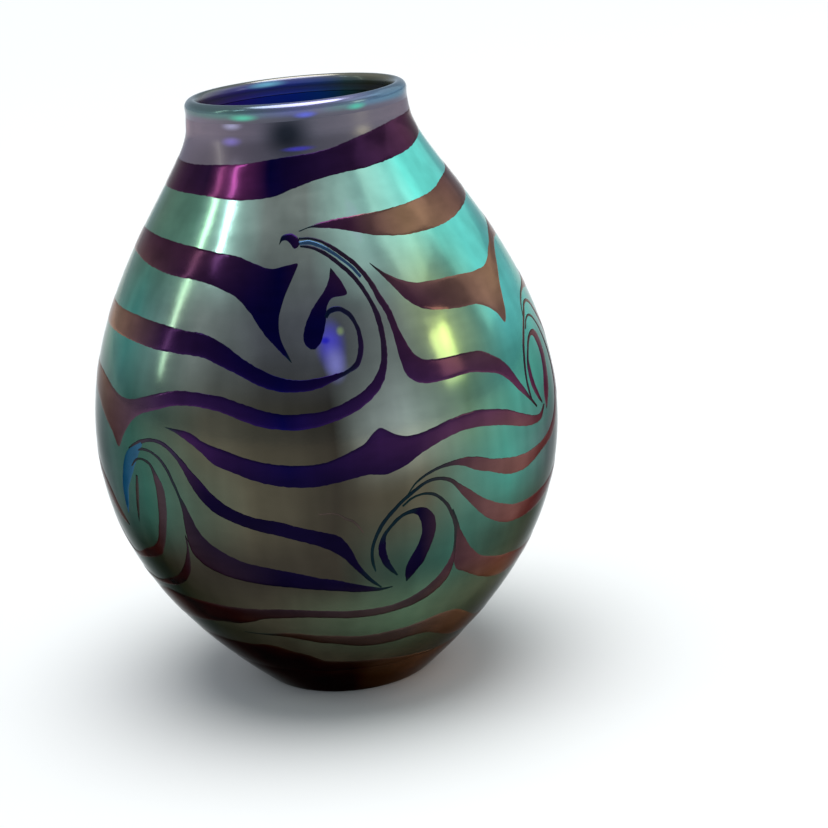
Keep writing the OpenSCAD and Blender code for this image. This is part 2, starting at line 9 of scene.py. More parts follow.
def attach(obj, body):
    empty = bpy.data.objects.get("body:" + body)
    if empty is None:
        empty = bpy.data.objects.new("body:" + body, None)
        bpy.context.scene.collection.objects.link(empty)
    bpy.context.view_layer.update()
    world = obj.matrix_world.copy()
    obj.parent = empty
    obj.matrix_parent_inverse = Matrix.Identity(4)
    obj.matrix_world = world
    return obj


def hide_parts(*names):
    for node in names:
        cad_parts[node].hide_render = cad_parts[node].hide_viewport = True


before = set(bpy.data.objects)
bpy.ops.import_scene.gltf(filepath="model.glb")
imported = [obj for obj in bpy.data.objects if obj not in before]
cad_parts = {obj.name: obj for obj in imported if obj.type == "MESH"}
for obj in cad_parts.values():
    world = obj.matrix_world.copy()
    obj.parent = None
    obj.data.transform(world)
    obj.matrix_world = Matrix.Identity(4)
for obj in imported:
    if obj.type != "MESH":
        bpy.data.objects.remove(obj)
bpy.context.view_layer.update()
print("frame loaded,", len(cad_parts), "glass pieces in it")

mm = 0.001
madePieces = {}


# Wall of the vase

wall = {
    "footRadius": 25.6,
    "bellyRadius": 70.1,
    "bellyHeight": 80.0,
    "neckRadius": 33.0,
    "neckHeight": 172.0,
    "height": 180.0,
    "footLean": (26.9, 23.5),
    "bellyPullLow": 32.5,
    "bellyPullHigh": 46.5,
    "neckPull": 12.5,
    "neckWaist": 0.3,
    "neckBase": 175.0,
    "lustre": 0.8,
    "casing": 1.4,
    "core": 1.8,
}


def bezier(a, b, c, d, t):
    # cubic curve from a to d, pulled towards b and c, for every value in t
    a, b, c, d = (np.asarray(p, float) for p in (a, b, c, d))
    t = np.asarray(t, float)[:, None]
    return a * (1 - t) ** 3 + 3 * b * t * (1 - t) ** 2 + 3 * c * t * t * (1 - t) + d * t ** 3


def wallProfile(steps=400):
    # foot to belly and belly to neck as two cubic curves, then the short straight neck
    foot = (wall["footRadius"], 0.0)
    belly = (wall["bellyRadius"], wall["bellyHeight"])
    waist = wall["neckRadius"] - wall["neckWaist"]
    t = np.linspace(0, 1, steps)
    lower = bezier(foot, np.add(foot, wall["footLean"]),
                   (belly[0], belly[1] - wall["bellyPullLow"]), belly, t)
    upper = bezier(belly, (belly[0], belly[1] + wall["bellyPullHigh"]),
                   (waist, wall["neckHeight"] - wall["neckPull"]),
                   (wall["neckRadius"], wall["neckHeight"]), t)
    return np.concatenate([lower[:-1], upper, [(waist, wall["neckBase"])]])


profile = wallProfile()


def wallRadius(z):
    # radius at a height, straight between the points of the profile
    return np.interp(z, profile[:, 1], profile[:, 0])


def wallPoint(angle, z, depth):
    # a point of the wall at an angle in degrees from the front, moved inwards by depth
    slope = (wallRadius(z + 1) - wallRadius(z - 1)) / 2
    length = np.sqrt(1 + slope ** 2)
    r = wallRadius(z) - depth / length
    a = np.radians(angle)
    return np.stack([r * np.sin(a), -r * np.cos(a), z + depth * slope / length], axis=-1)


def gridFaces(rows, columns, closedRows, closedColumns):
    # quads between neighbouring points of a grid, wrapped round where a direction is closed
    i = np.arange(rows if closedRows else rows - 1)[:, None]
    j = np.arange(columns if closedColumns else columns - 1)[None, :]
    i2 = (i + 1) % rows
    j2 = (j + 1) % columns
    corners = [i * columns + j, i * columns + j2, i2 * columns + j2, i2 * columns + j]
    quads = [np.broadcast_to(corner, (i.shape[0], j.shape[1])) for corner in corners]
    return np.stack(quads, -1).reshape(-1, 4)


def addPiece(name, points, faces, node, material, smoothAngle=50, thin=None):
    # one closed glass piece from points in millimetres; it stands for a CAD node
    mesh = bpy.data.meshes.new(name)
    mesh.from_pydata((np.asarray(points).reshape(-1, 3) * mm).tolist(), [], [list(f) for f in faces])
    if thin is not None:
        mesh.attributes.new("thin", "FLOAT", "POINT").data.foreach_set("value", thin.ravel())
    work = bmesh.new()
    work.from_mesh(mesh)
    bmesh.ops.remove_doubles(work, verts=work.verts, dist=0.002 * mm)
    bmesh.ops.recalc_face_normals(work, faces=work.faces)
    work.to_mesh(mesh)
    work.free()
    mesh.polygons.foreach_set("use_smooth", np.ones(len(mesh.polygons), bool))
    mesh.set_sharp_from_angle(angle=math.radians(smoothAngle))
    piece = bpy.data.objects.new(name, mesh)
    bpy.context.scene.collection.objects.link(piece)
    mesh.materials.append(material)
    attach(piece, "root")
    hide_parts(node)
    madePieces[name] = piece
    return piece


# Stations of the threads. A station is [angle, height, angle, height]: the two edges of the ribbon,
# the one on the left of its run first. Angles count from the front, to the right, in degrees.

def moved(stations, angle, z):
    # the same run turned by an angle and lifted by z
    return [[s[0] + angle, s[1] + z, s[2] + angle, s[3] + z] for s in stations]


def placed(stations, place):
    # the same run at one of the hidden swirls' places
    return moved(stations, place[0], place[1])


def joined(*lists):
    # several runs laid end to end
    return [station for part in lists for station in part]


# Threads around the upper front swirl
frontTip = [
  [17.5, 136.5, 17.5, 136.2], [21.5, 133.2, 20, 133], [25.5, 130.9, 22.5, 129.6], [30, 129.4, 25.5, 125.5],
  [35, 129, 29, 122.7], [40, 128.8, 35.5, 121], [44.5, 128.6, 42, 120.2]
]
frontTail = [
  [-45, 143.3, -45, 135.1], [-38, 142.7, -38, 134.7], [-30, 141.7, -31, 133.5], [-24, 141, -26, 132],
  [-17, 138.8, -21.5, 129.7], [-12.5, 137.6, -18, 126.3], [-7.5, 138.2, -16.2, 123.8],
  [-4.3, 138.5, -15, 122.2], [-7, 134, -13, 119.7], [-9.7, 128, -11.5, 118.2], [-10.2, 122, -10.5, 117],
  [-7.2, 113.6, -7.4, 113.6]
]
frontCurl = [
  [-45, 122.7, -45, 115.9], [-38, 121.9, -38, 115.6], [-31, 121.2, -31, 115.1], [-25, 118.7, -25.5, 113],
  [-20, 115.3, -20.5, 110.7], [-15, 112.2, -15.5, 107.9], [-10, 109.8, -10.3, 106.2],
  [-5.3, 108.9, -5.3, 105.8], [-0.8, 109.2, -1.3, 106.3], [3.2, 109.8, 2.5, 107.8], [6.2, 110.6, 6.5, 109.5],
  [8.3, 112.4, 9, 111],
  [9.4, 115.3, 10.5, 114], [9.8, 118.7, 11, 117.5], [9.3, 121.8, 10.5, 121.5], [7.9, 124.2, 9, 124.8],
  [5.6, 125.5, 6, 126.8], [3.6, 125, 3, 126.2], [2.7, 124, 2, 124.6]
]
frontLoop = [
  [-45, 104.4, -45, 99.8], [-38, 106, -38.5, 101.8], [-30, 105.8, -31, 102], [-25, 105.1, -25.5, 101],
  [-20, 103.4, -20.5, 99], [-15, 101.5, -15.5, 97], [-10, 100.2, -10, 96], [-5, 100, -5, 95.8],
  [-0.8, 100.3, -0.5, 96.6], [3.2, 101.5, 4, 98], [7, 103.2, 8.5, 100.2], [10, 105.1, 12, 103],
  [12.8, 108, 14.5, 106.2], [14.5, 111.4, 16, 110.5], [15.3, 115.3, 16.8, 115], [15.5, 119, 17, 119.5],
  [15.2, 123.5, 16.6, 124], [14.5, 126.7, 15.6, 127.3], [12.8, 130.6, 13.9, 131.3],
  [10.3, 134.4, 11.3, 135.2], [7.7, 136.9, 8.6, 137.7], [5, 139.2, 5.7, 140.1], [2, 141, 2.3, 141.9],
  [-1, 142, -1, 142.8],
  [-3.2, 142.4, -3.2, 142.9]
]
frontDown = [
  [-3.4, 144.9, -3.5, 144.3], [0.3, 144.7, 0.3, 144], [3.7, 143.8, 3.7, 142.9], [7.1, 142.1, 6.9, 140.9],
  [10.5, 139.7, 9.8, 138.7], [13.4, 137.2, 12.6, 136.1], [15.2, 134.9, 14.3, 133.8], [17, 131.8, 15.8, 130.7],
  [18.5, 127.8, 17, 126.7], [20, 124.2, 18.3, 123.3], [20.8, 119.7, 19, 118.7], [22, 115.3, 19.3, 114],
  [23.3, 112, 19.6, 109.7], [25.3, 110, 20.2, 106.8], [28.7, 109.2, 22, 104.6], [33, 108.9, 25, 103.4],
  [38, 108.7, 31, 103.1], [43, 107.8, 38, 103.1], [46, 106, 43, 101.7], [49, 103.7, 46.8, 100.2],
  [51.5, 100.6, 50, 97.4], [54.2, 95.8, 53, 93.6], [57, 91.2, 56.3, 90.2], [60.5, 86.5, 60.2, 86]
]
frontCommaRun = [
  [5.5, 136.6, 5.3, 136.3], [6.8, 134.9, 4.6, 134.2], [8.3, 132.3, 3.3, 131.8], [9, 129.6, 1.8, 130],
  [4.6, 128.9, 0.4, 128.5], [3, 127, -1.2, 126.6], [2.5, 124.6, -2.5, 124.4], [1.9, 122, -3.5, 122],
  [1.2, 120, -3.9, 120], [0, 117.6, -3.6, 117.9], [-1.2, 116.5, -2.4, 116.6]
]
frontHookRun = [
  [-10, 143.6, -9.9, 143.4], [-9.2, 145.4, -8.9, 144.3], [-7.5, 146, -7.6, 144.3], [-5.5, 145.9, -6.3, 143.4],
  [-3.7, 144.9, -5.2, 142.2], [-3.1, 143.3, -4.2, 142.3]
]
frontFilmRun = [
  [-3.5, 143.9, -3.3, 143], [0.3, 143.9, 0, 142.8], [3.7, 142.7, 3, 141.8], [7, 140.7, 6, 140.2],
  [9.8, 138.5, 9, 138], [12.6, 135.9, 11.6, 135.6], [14.2, 133.6, 13.5, 133]
]
# Threads around the lower front swirl, which the hidden swirls repeat
lowerRingRun = [
  [13.7, 49, 14.1, 49.2], [11.4, 51.7, 12.8, 52.1], [10.1, 54, 11.7, 54.8], [9.2, 57, 11.1, 57.5],
  [9.2, 59.7, 11, 60.2], [10.1, 62.8, 11.3, 62.8], [12, 65.5, 12.8, 65.1], [14, 67.8, 14.6, 67],
  [16.4, 69.1, 16.4, 68], [18.6, 69.5, 18, 68], [20.8, 69.1, 19, 67], [22.6, 67.3, 19.7, 65],
  [23.5, 64.6, 20, 62.4], [23.6, 61.5, 19.5, 59.7], [23, 58.4, 18.4, 56.6], [22, 55.3, 16.8, 53.5],
  [20.8, 52, 16, 50.8], [19, 49.4, 16, 48.6], [16.6, 46.3, 16.3, 46.5]
]
lowerOver = [
  [8.2, 51.5, 8.5, 51.7], [7.3, 54.8, 8.1, 54.8], [7.2, 58, 8, 58], [7.7, 61, 8.6, 61],
  [8.8, 64.2, 9.7, 63.9], [10.5, 67.5, 11.4, 67], [12.8, 70.4, 13.5, 69.6], [15.5, 73, 16, 72.2],
  [18.3, 75.2, 18.8, 74.3], [21.3, 76.9, 21.5, 76], [23.3, 77.3, 23.3, 76.3], [25.5, 77, 25.3, 76],
  [28, 75.8, 27.8, 74.5], [30.2, 73.6, 29.3, 72.3], [33, 71, 31.3, 69.2], [36, 68, 33.7, 66],
  [40, 65, 37, 62], [43.6, 63, 40, 59.3]
]
lowerTip = [
  [16.5, 73.8, 16.6, 73.5], [19, 77.3, 19.3, 76.8], [21.3, 78.9, 21.6, 78.2], [24.8, 80.2, 25, 79.3],
  [28, 80.7, 28, 79.4], [32.4, 80.7, 31.5, 78.4], [37, 79.3, 34.7, 76.2]
]
lowerUnder = [
  [1, 38.6, 1, 35.7], [8, 38.4, 8, 35.5], [12.3, 38.6, 12.5, 35.8], [16.8, 39.7, 17.5, 36.6],
  [19.8, 41, 21, 37.6], [22.6, 42.8, 24.3, 39.2], [25, 45, 27, 41.5], [26.8, 47.4, 28.7, 43.8],
  [28, 49.8, 29.7, 47.2], [28.8, 52.5, 29.8, 51], [29, 55, 29.6, 55], [28.9, 58, 29.6, 58],
  [28.5, 61.5, 29.3, 61.7], [27.6, 64.6, 28.4, 65], [26.6, 67.3, 27.4, 67.8], [25, 70, 25.6, 70.6],
  [23, 72, 23.4, 72.8], [20.5, 72.9, 20.6, 73.6], [18, 72.4, 17.8, 73], [15.5, 70.5, 15.2, 71]
]
lowerDown = [
  [28.3, 66.5, 28, 66.3], [29.7, 62.5, 29.1, 62], [30.7, 59.2, 29.4, 58], [32, 56.6, 29.5, 55.2],
  [33.8, 53.5, 29.6, 52.2], [36.4, 50.3, 29.8, 49.2], [39, 48, 31, 46.4], [43.6, 46, 34.5, 44]
]
# Ends of the threads that dive to the foot of such a swirl from its left
lowerTail = [
  [-5, 66.7, -6.5, 62.6], [-2, 65.6, -3.4, 61], [0.3, 64.3, -0.8, 58.8], [1.8, 62, 1, 57],
  [3, 59, 2.3, 54.8], [4.3, 54.8, 3.8, 52.5], [5.8, 51.8, 5.3, 50.4], [7.6, 49, 7.1, 48],
  [9.9, 46, 9.6, 45.7]
]
lowerPoint = [
  [-5.5, 51.3, -6.5, 47.2], [-1, 50, -1, 46.2], [2.5, 48.4, 3, 45.3], [6, 47, 6.5, 44.9],
  [9.5, 45.7, 9.7, 44.7], [12.8, 45.5, 12.8, 45.2]
]
# Places of the hidden swirls, as turns and drops from the lower front swirl
rightPlace = [50, 37]
farRightPlace = [114, 30]
backPlace = [174, 22]
farLeftPlace = [234, 15]
fullTurn = 360
neckRun = [
  [-3.5, 146.5, -3, 146.3], [0.5, 147.4, 0.5, 147], [4, 148.1, 5, 146.6], [9, 148.5, 9.5, 146],
  [15, 148.7, 15, 144.7], [24, 148.8, 22, 143], [32, 149, 31, 141.7], [42, 149.5, 42, 141.4],
  [56, 150.6, 55, 142], [67, 152.3, 66, 143.3], [78, 153.2, 78, 144.6], [120, 156, 120, 148],
  [180, 159, 180, 151], [240, 162, 240, 154.5], [285, 163.5, 285, 156], [300, 163.5, 300, 156],
  [315, 163.8, 315, 155.8], [335, 164.3, 335, 154.8], [345, 165, 346, 155.3], [360, 165.7, 360, 158],
  [370, 166.2, 370, 159.3], [390, 168.5, 390, 160.2], [416, 170.8, 416, 162], [435, 171.3, 435, 164],
  [470, 172.3, 470, 166.5], [510, 173.2, 510, 170], [540, 173.8, 540, 173.3]
]
shoulderRun = joined(
  frontTip,
  [[48.5, 128.3, 47.5, 119.7], [51.5, 128, 51.2, 118], [54.5, 128, 54.3, 115.2], [56.5, 128, 56, 112.3],
   [58.5, 128.2, 58, 114.4], [60.5, 128.7, 60, 118.4], [63, 129.5, 62.3, 122.3], [66.5, 131.2, 66, 126],
   [70.5, 132.6, 70, 129.2], [75, 134.2, 75, 131.3], [90, 137, 90, 131.5], [130, 139, 130, 132],
   [190, 140, 190, 133], [250, 142.5, 250, 135.8], [285, 144.5, 285, 138], [300, 144.2, 300, 136.5]],
  moved(frontTail, fullTurn, 0)
)
upperRun = joined(
  placed(lowerTip[:5], rightPlace),
  [[84, 118.5, 84, 115.5], [95, 119.5, 95, 114.5], [130, 121.5, 130, 115.5], [190, 122, 190, 115.5],
   [250, 123, 250, 116.5], [285, 124, 285, 117.5], [300, 123.8, 300, 117]],
  moved(frontCurl, fullTurn, 0)
)
middleRun = joined(
  placed(lowerTip[:5], farRightPlace),
  [[150, 110.8, 149, 107.5], [165, 109.5, 165, 104.5], [190, 108, 190, 102.5], [250, 106.5, 250, 100.5],
   [275, 106, 275, 99.5], [286, 105.5, 285, 97], [292, 104, 291, 93.5], [297, 102.3, 296.5, 90],
   [301, 101.3, 300, 86.5], [304, 101.3, 302.5, 90.5], [307, 101.8, 305.5, 94.5], [311, 103, 309, 97.5]],
  moved(frontLoop, fullTurn, 0)
)
bellyRun = [
  [-41.2, 95.7, -41.2, 95.5], [-37.5, 95.5, -37.7, 94.3], [-33.7, 94.8, -34, 92], [-30, 92.6, -31, 89.8],
  [-25.7, 91, -28, 86.8], [-21.5, 89.3, -23, 84.4], [-18, 88, -18.5, 82.3], [-14, 87, -14, 80.8],
  [-10, 86.3, -10, 80], [-5, 86, -5, 79.6], [-1, 86.4, -0.5, 80], [4.7, 88.7, 4.7, 81],
  [8, 90.5, 8.5, 81.4], [10.3, 93, 10.8, 81], [11.8, 94, 12, 80.8], [13.5, 93, 14, 81.3],
  [16.5, 91, 17.5, 82.7], [20, 90.5, 20, 84.4], [24, 91.2, 24, 86.3], [28, 92.2, 28, 87.6],
  [32.5, 92.8, 32.5, 88.3], [37, 92.8, 37, 88], [41.5, 91.8, 41.5, 87], [46, 90.3, 46, 85.6],
  [52, 87.3, 52, 83.2], [57.5, 84.6, 57.5, 81.8], [61.5, 83.8, 62.2, 82], [64.5, 85.5, 65.3, 85.2]
]
footRun = [
  [-34, 29.7, -34, 29.5], [-25, 30, -25, 29.3], [-20, 30.6, -20, 29], [-15, 30.4, -15, 27.8],
  [-10, 29.6, -10, 26.4], [-4, 29, -4.5, 25.4], [5, 27.8, 5, 23.2], [15, 28.2, 15, 23],
  [23, 29, 23, 23.7], [28, 30, 28, 23.3], [33, 30.2, 33, 21.5], [38, 29.3, 38, 19.5],
  [43, 26.8, 43, 18], [52, 22.5, 52, 16.5], [90, 24, 90, 19], [150, 35, 150, 31], [200, 48, 200, 44.5]
]
leftFilmRun = [
  [-61, 66, -60.6, 66], [-61, 70, -58.8, 70], [-60.4, 75, -57.2, 75], [-59, 80, -55, 78.6],
  [-57, 84.8, -52.8, 82.8], [-54, 88.2, -51, 86.3], [-50.2, 90.4, -49.4, 89.4]
]
leftOver = [
  [-55.2, 87.4, -55, 87], [-52.6, 89.4, -52, 88.6], [-49.5, 91, -48.9, 90],
  [-46, 91.8, -45.8, 90.8], [-42.5, 91.6, -43, 90.5],
  [-39.5, 90, -40.3, 89], [-37.3, 88, -38, 86.8], [-35.5, 86.2, -36.9, 85], [-34.3, 84.5, -35.6, 82.4],
  [-32, 82, -34, 79], [-29.8, 79, -32, 75.7], [-27.3, 76.3, -29.8, 73], [-24.5, 74, -27, 71],
  [-21.5, 72.3, -23.5, 69.2], [-18, 71, -19.5, 67.4], [-13.5, 70, -14.5, 65.8], [-10, 68.6, -10.5, 64.3]
]
leftDown = [
  [-52.5, 87.2, -52.3, 86.5], [-50, 88.4, -50, 87.6], [-47, 88.4, -47, 87.6], [-43.7, 87, -44.2, 86.3],
  [-41, 84, -41.7, 83.4], [-39.3, 80, -40.1, 79.7], [-38, 76.2, -38.8, 76], [-36.7, 73, -38.2, 72],
  [-35.6, 69.5, -38.4, 67], [-34, 65.2, -38.6, 62.5], [-31.6, 62, -38.3, 58.5], [-28.4, 59.5, -36, 54.8],
  [-24.7, 57.3, -31.5, 52.2], [-18, 55.3, -23, 49.8], [-10, 53, -13, 48.3]
]
leftUnder = [
  [120, 17, 120, 16.5], [150, 22, 150, 19], [200, 33, 200, 29], [250, 40.5, 250, 36.5], [285, 43, 285, 40],
  [302.3, 44.3, 302.3, 42.6], [306.5, 46, 305.7, 43.2], [310.8, 47.8, 309.8, 44.4], [314, 50, 313, 46],
  [317.2, 53.6, 316, 48.4], [319.3, 57.3, 318.8, 52], [320.4, 60, 320.5, 57.5], [321, 64, 321.3, 62]
]
leftRingRun = [
  [-68, 51, -67, 49.5], [-62, 53, -61, 51], [-57.7, 55.2, -57, 52.2], [-54.5, 56.5, -53.5, 53.4],
  [-52, 58, -50.3, 55.3], [-49.7, 60.5, -48, 58.4], [-48, 64.3, -45.6, 63], [-46.5, 69, -43.7, 68.8],
  [-46, 72.8, -43, 73], [-45.7, 76, -43, 77], [-46, 79.7, -44, 80.3], [-46.4, 82, -45.3, 82.4],
  [-47.3, 83.8, -46.9, 84.6], [-49.3, 84.7, -49.2, 85.4], [-51.5, 84.5, -52, 85], [-54, 82, -54.6, 82.4]
]
leftVeinRun = [
  [-56.2, 64.5, -56, 64.4], [-55.6, 67.5, -54.8, 67.3], [-54.7, 71.7, -53.6, 71.5], [-53.8, 76, -52.6, 75.8],
  [-53, 79.8, -52.2, 79.5]
]
lowerUnderRun = joined(
  [[-110, 20, -110, 18.5], [-90, 28, -90, 22], [-72, 37, -72, 27], [-60, 40.5, -60, 29.5],
   [-46, 40.3, -47, 31.5], [-40.5, 40.2, -40.5, 32.8], [-33, 40, -33, 33.3], [-28, 40, -28, 34.7],
   [-24.5, 40, -24.5, 36], [-18, 40.3, -18, 36.8], [-10, 39.8, -10, 37], [-5, 39.3, -5, 36.5]],
  lowerUnder
)
footRim = [
  [-125, 13.5, -125, 13], [-90, 19, -90, 12], [-60, 23.5, -60, 12], [-42, 24, -42, 12],
  [-33.5, 24.2, -33.5, 12], [-29.5, 24.7, -29.5, 12], [-25, 24.2, -25, 12], [-20, 22.2, -20, 12],
  [-15, 20.6, -15, 12], [-10, 17.8, -10, 12], [-4, 17, -4, 12], [9, 16, 9, 12], [25, 14.3, 25, 12],
  [40, 13, 40, 12.6]
]
lowerHairRun = [
  [-4, 71.8, -4, 71.4], [0.3, 71.4, 0.3, 70.9], [2.3, 69.8, 1.9, 69.3], [3.8, 68.8, 3.3, 68.4],
  [5, 67, 4.5, 66.8], [6, 64.6, 5.7, 64.6]
]
rightOverRun = joined(placed(lowerOver, rightPlace), placed(lowerTail, farRightPlace))
rightDownRun = joined(placed(lowerDown, rightPlace), placed(lowerPoint, farRightPlace))
rightUnderRun = joined(
  lowerTip,
  [[40, 77.8, 38.5, 74.5], [43.6, 76.7, 42.5, 72.5], [48, 75.6, 47, 70.8], [52, 75, 52, 70.3],
   [57, 75, 57, 71.2]],
  placed(lowerUnder[2:], rightPlace)
)
farRightOverRun = joined(placed(lowerOver, farRightPlace), placed(lowerTail, backPlace))
farRightDownRun = joined(placed(lowerDown, farRightPlace), placed(lowerPoint, backPlace))
farRightUnderRun = joined(
  lowerOver,
  [[48, 61, 46, 56], [54, 60, 53, 54.8], [64, 60, 64, 55], [90, 64.5, 90, 60.5]],
  placed(lowerUnder, farRightPlace)
)
backOverRun = joined(placed(lowerOver, backPlace), placed(lowerTail, farLeftPlace))
backDownRun = joined(placed(lowerDown, backPlace), placed(lowerPoint, farLeftPlace))
backUnderRun = joined(
  lowerDown,
  [[48, 44.5, 40, 40.6], [53, 43.5, 46, 38], [60, 42, 55, 35.8], [75, 41.5, 73, 36.5],
   [110, 47, 110, 43], [145, 55, 145, 51.5]],
  placed(lowerUnder, backPlace)
)
farLeftOverRun = joined(
  placed(lowerOver, farLeftPlace),
  [[284, 75, 281, 71], [290, 71, 287.5, 66.5], [294, 66, 292.5, 62.5], [297, 61.5, 296.6, 61]]
)
farLeftDownRun = joined(
  placed(lowerDown, farLeftPlace),
  moved(leftRingRun, fullTurn, 0)
)
farLeftUnderRun = joined(footRun, placed(lowerUnder, farLeftPlace))
leftOverRun = joined(leftOver, lowerTail)
leftDownRun = joined(leftDown, lowerPoint)


# Colours and materials

def hexColour(code):
    # a named glass colour or an sRGB hex, to the linear colour that a shader takes
    code = glassColours.get(code, code)
    parts = np.array([int(code[i:i + 2], 16) for i in (1, 3, 5)]) / 255
    linear = np.where(parts <= 0.04045, parts / 12.92, ((parts + 0.055) / 1.055) ** 2.4)
    return (*linear.tolist(), 1.0)


def addNode(tree, kind, settings=None, links=None):
    # one node with its settings and links; a key is a property, a socket's name or its number
    node = tree.nodes.new(kind)
    for key, value in (settings or {}).items():
        if key == "stops":
            ramp = node.color_ramp
            ramp.elements[0].position = value[0][0]
            ramp.elements[0].color = hexColour(value[0][1])
            ramp.elements[1].position = value[-1][0]
            ramp.elements[1].color = hexColour(value[-1][1])
            for position, code in value[1:-1]:
                ramp.elements.new(position).color = hexColour(code)
        elif isinstance(key, str) and hasattr(node, key):
            setattr(node, key, value)
        else:
            node.inputs[key].default_value = value
    for key, socket in (links or {}).items():
        tree.links.new(socket, node.inputs[key])
    return node


def newMaterial(name):
    # an empty material and its node tree
    material = bpy.data.materials.new(name)
    material.use_nodes = True
    tree = material.node_tree
    tree.nodes.clear()
    return material, tree


def angleStops(stops):
    # angles from the front in degrees, -180 to 180, to places along a ramp
    return [((angle + 180) / 360, code) for angle, code in stops]


def turnAndHeight(tree, warp):
    # angle round the vase as 0 to 1 and height as 0 to 1, both bent by a soft noise
    coords = addNode(tree, "ShaderNodeTexCoord").outputs["Object"]
    axes = addNode(tree, "ShaderNodeSeparateXYZ", links={0: coords})
    towards = addNode(tree, "ShaderNodeMath", {"operation": "MULTIPLY", 1: -1.0}, {0: axes.outputs["Y"]})
    angle = addNode(tree, "ShaderNodeMath", {"operation": "ARCTAN2"},
                    {0: axes.outputs["X"], 1: towards.outputs[0]})
    turns = addNode(tree, "ShaderNodeMath", {"operation": "MULTIPLY_ADD", 1: 1 / (2 * math.pi), 2: 0.5},
                    {0: angle.outputs[0]})
    bend = addNode(tree, "ShaderNodeTexNoise", {"Scale": 1 / (warp["size"] * mm), "Detail": warp["detail"]},
                   {"Vector": coords})
    turn = addNode(tree, "ShaderNodeMath", {"operation": "MULTIPLY_ADD", 1: warp["turn"]},
                   {0: bend.outputs["Fac"], 2: turns.outputs[0]})
    turn = addNode(tree, "ShaderNodeMath", {"operation": "ADD", 1: -warp["turn"] / 2}, {0: turn.outputs[0]})
    rise = addNode(tree, "ShaderNodeMath",
                   {"operation": "MULTIPLY_ADD", 1: 1 / (wall["height"] * mm), 2: -warp["rise"] / 2},
                   {0: axes.outputs["Z"]})
    height = addNode(tree, "ShaderNodeMath", {"operation": "MULTIPLY_ADD", 1: warp["rise"]},
                     {0: bend.outputs["Fac"], 2: rise.outputs[0]})
    return coords, turn.outputs[0], height.outputs[0]


# glass colours by name: silver fumed on glass runs mint to teal, dark glass trails run midnight to amber; the
# mint, citron and rose colours are painted highlights
glassColours = {
    "mintHighlight": "#B4DCC8",
    "citronHighlight": "#B0C088",
    "turquoise": "#5CB8AC",
    "seaGreen": "#6C9880",
    "teal": "#3C786C",
    "pine": "#28483F",
    "sage": "#546A54",
    "olive": "#444034",
    "pewter": "#5A5A5C",
    "mist": "#888E84",
    "smoke": "#2A2620",
    "bronze": "#5E5242",
    "ink": "#08041C",
    "midnight": "#060434",
    "plum": "#341A3C",
    "wine": "#48263C",
    "roseHighlight": "#7A3464",
    "russet": "#644440",
    "amber": "#8C6850",
    "cocoa": "#50423E",
    "umber": "#32241E",
    "steel": "#344E6A",
    "petrol": "#103C46",
}

# Each band of a finish is a height in millimetres and the colours round the vase at that height,
# by angle from the front, -180 to 180: partly the glass's own colour, partly painted highlights, reflections
# and shade.
# A painted reflection patch is an angle, a height, a depth under the wall, a half width, a half height, the
# softness of its rim and a colour.

lustreFinish = {
    # painted reflections in the eye of the upper swirl: a lavender-blue lamp reflection with a dark blue
    # speck, and a yellow-green glint
    "paintedReflections": [
        (2.8, 117.5, 0, 5.0, 11.0, 0.9, "#5E56D0"),
        (3.4, 112.5, 0, 4.0, 7.5, 1.0, "#9A94DC"),
        (5.6, 120.5, 0, 1.5, 1.9, 0.9, "#9CAA7C"),
        (1.5, 118.5, 0, 1.8, 1.4, 0.8, "#3430C8"),
    ],
    "roughness": 0.14,
    "coat": 0.04,
    "edgeTints": ("#A0A6A6", "#D0D8D8"),
    "gain": 1.5,
    "warp": {"size": 38, "detail": 1.5, "turn": 0.02, "rise": 0.03},
    # partly the fume's own drift of colour, partly painted light: mint at -30 and 15 degrees and citron at 35
    # are painted window highlights, turquoise towards the right a painted sheen, smoke at the front of the
    # belly a painted dark reflection, and the darker olive and smoke towards the foot painted shade
    "bands": [
        (12, [(-180, "olive"), (-60, "bronze"), (60, "bronze"), (180, "olive")]),
        (32, [(-180, "sage"), (-100, "olive"), (-60, "smoke"), (-20, "olive"), (20, "sage"),
              (60, "bronze"), (120, "sage"), (180, "sage")]),
        (52, [(-180, "olive"), (-120, "sage"), (-60, "smoke"), (0, "smoke"), (30, "pine"),
              (60, "olive"), (120, "sage"), (180, "olive")]),
        (74, [(-180, "olive"), (-120, "teal"), (-80, "pewter"), (-50, "pine"), (-20, "olive"),
              (0, "smoke"), (20, "olive"), (45, "teal"), (70, "pewter"), (120, "teal"), (180, "olive")]),
        (98, [(-180, "pewter"), (-120, "teal"), (-80, "pewter"), (-55, "pine"), (-30, "olive"),
              (0, "smoke"), (15, "mist"), (35, "sage"), (50, "teal"), (120, "teal"), (180, "pewter")]),
        (122, [(-180, "pewter"), (-120, "teal"), (-80, "sage"), (-60, "teal"), (-35, "mist"),
               (-15, "pewter"), (5, "pewter"), (20, "mist"), (35, "citronHighlight"), (45, "seaGreen"),
               (55, "turquoise"), (120, "teal"), (180, "pewter")]),
        (150, [(-180, "seaGreen"), (-70, "sage"), (-45, "seaGreen"), (-30, "mintHighlight"), (-15, "mist"),
               (0, "mist"), (15, "mintHighlight"), (45, "turquoise"), (120, "turquoise"), (180, "seaGreen")]),
    ],
}

